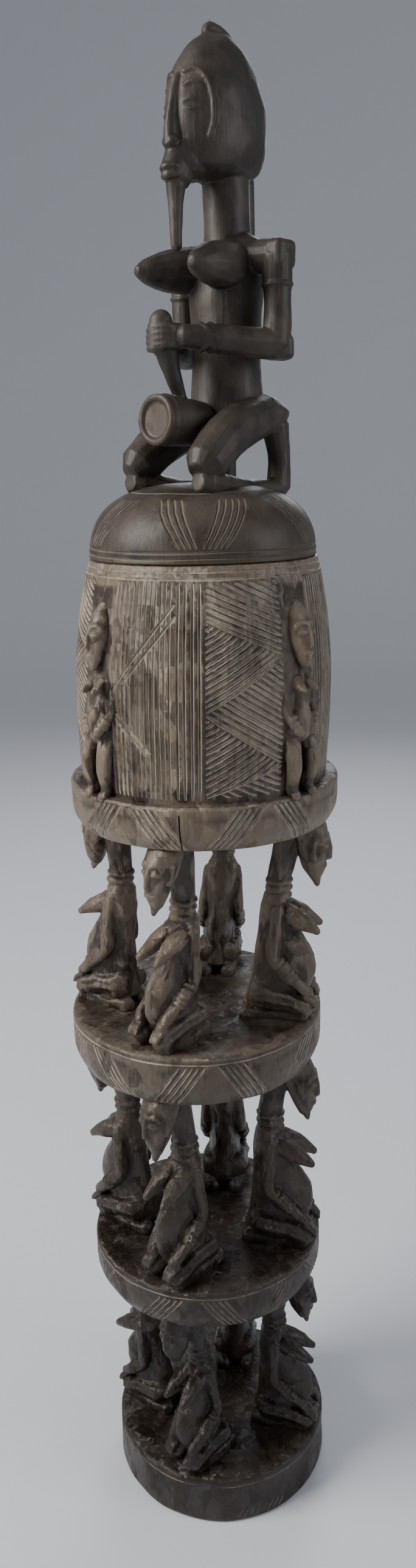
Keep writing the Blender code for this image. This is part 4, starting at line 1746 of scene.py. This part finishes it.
# %% [markdown]
# ## The finished pieces
#
# Each piece takes its wood, stands for its solid node, and rides on the one body of the
# object. Points that the adze pushed out are brought back to the solid's own box, and the
# edges of the knife lines stay sharp while the skin between them is shaded smooth.

# %% Finishing
SHARP_ABOVE = math.radians(42)


def finished(obj, name, node, material, low, high):
    obj.name = name
    obj.data.name = name
    co = np.clip(vectors_of(obj.data, "co"), np.array(low), np.array(high)).astype(np.float32)
    obj.data.vertices.foreach_set("co", co.ravel())
    obj.data.update()
    faced_with(obj, material)
    only(obj)
    bpy.ops.object.shade_smooth_by_angle(angle=SHARP_ABOVE)
    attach(obj, "root")
    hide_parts(node)
    print(name, triangle_count(obj), "triangles")


finished(
    log, "log_with_figures", "carved_column", column_wood,
    column_low, column_high,
)
finished(lid, "lid_and_drummer", "lid_with_drummer", lid_wood, lid_low, lid_high)

# %% [markdown]
# ## Studio
#
# A pale floor curves up into a pale wall all round, so there is no line behind the object from
# any side. It is one circle whose edge is extruded outward and upward. A large soft light
# stands on the left, as the window does in a room, with weak ones on the right and behind.

# %% Floor
FLOOR_RADIUS = 3.9
FLOOR_CURVE = ((4.4, 0.03), (4.9, 0.16), (5.4, 0.5), (5.8, 1.1), (6.0, 2.0), (6.1, 9.0))
FLOOR_COLOUR = (0.62, 0.64, 0.68, 1)
circle = {"vertices": 96, "radius": FLOOR_RADIUS, "fill_type": "NGON"}
floor = added(bpy.ops.mesh.primitive_circle_add, **circle)
floor.name = "pale_floor"
bpy.ops.object.mode_set(mode="EDIT")
bpy.ops.mesh.select_all(action="SELECT")
wide, high = FLOOR_RADIUS, 0.0
for wider, higher in FLOOR_CURVE:
    bpy.ops.mesh.extrude_edges_move(TRANSFORM_OT_translate={"value": (0, 0, higher - high)})
    bpy.ops.transform.resize(value=(wider / wide, wider / wide, 1), center_override=(0, 0, 0))
    wide, high = wider, higher
bpy.ops.object.mode_set(mode="OBJECT")
bpy.ops.object.shade_smooth()
floor_paint = bpy.data.materials.new("pale floor")
floor_paint.use_nodes = True
paint = floor_paint.node_tree.nodes["Principled BSDF"]
paint.inputs["Base Color"].default_value = FLOOR_COLOUR
paint.inputs["Roughness"].default_value = 0.85
floor.data.materials.append(floor_paint)
print("floor out to", FLOOR_CURVE[-1][0], "metres")

# %% Lights
LIGHT_TARGET = UP * 0.8
ROOM_COLOUR = (0.76, 0.77, 0.80, 1)
ROOM_STRENGTH = 0.48


def soft_light(name, azimuth, height, distance, size, power, colour):
    """An area light that stands at an azimuth round the object and looks at its middle."""
    turn = math.radians(azimuth)
    spot = Vector((math.sin(turn) * distance, -math.cos(turn) * distance, height))
    light = added(bpy.ops.object.light_add, type="AREA", location=spot)
    light.name = name
    light.data.shape = "RECTANGLE"
    light.data.size, light.data.size_y = size
    light.data.energy = power
    light.data.color = colour
    light.rotation_euler = (LIGHT_TARGET - spot).to_track_quat("-Z", "Y").to_euler()


soft_light("window", -27, 2.1, 2.1, (1.3, 1.6), 100, (1.0, 0.97, 0.92))
soft_light("fill", 112, 1.6, 2.6, (1.2, 1.6), 28, (0.97, 0.97, 1.0))
soft_light("from_behind", 215, 2.0, 2.4, (1.2, 1.4), 26, (0.95, 0.96, 1.0))
world = bpy.data.worlds.new("pale room")
world.use_nodes = True
room = world.node_tree.nodes["Background"]
room.inputs["Color"].default_value = ROOM_COLOUR
room.inputs["Strength"].default_value = ROOM_STRENGTH
bpy.context.scene.world = world
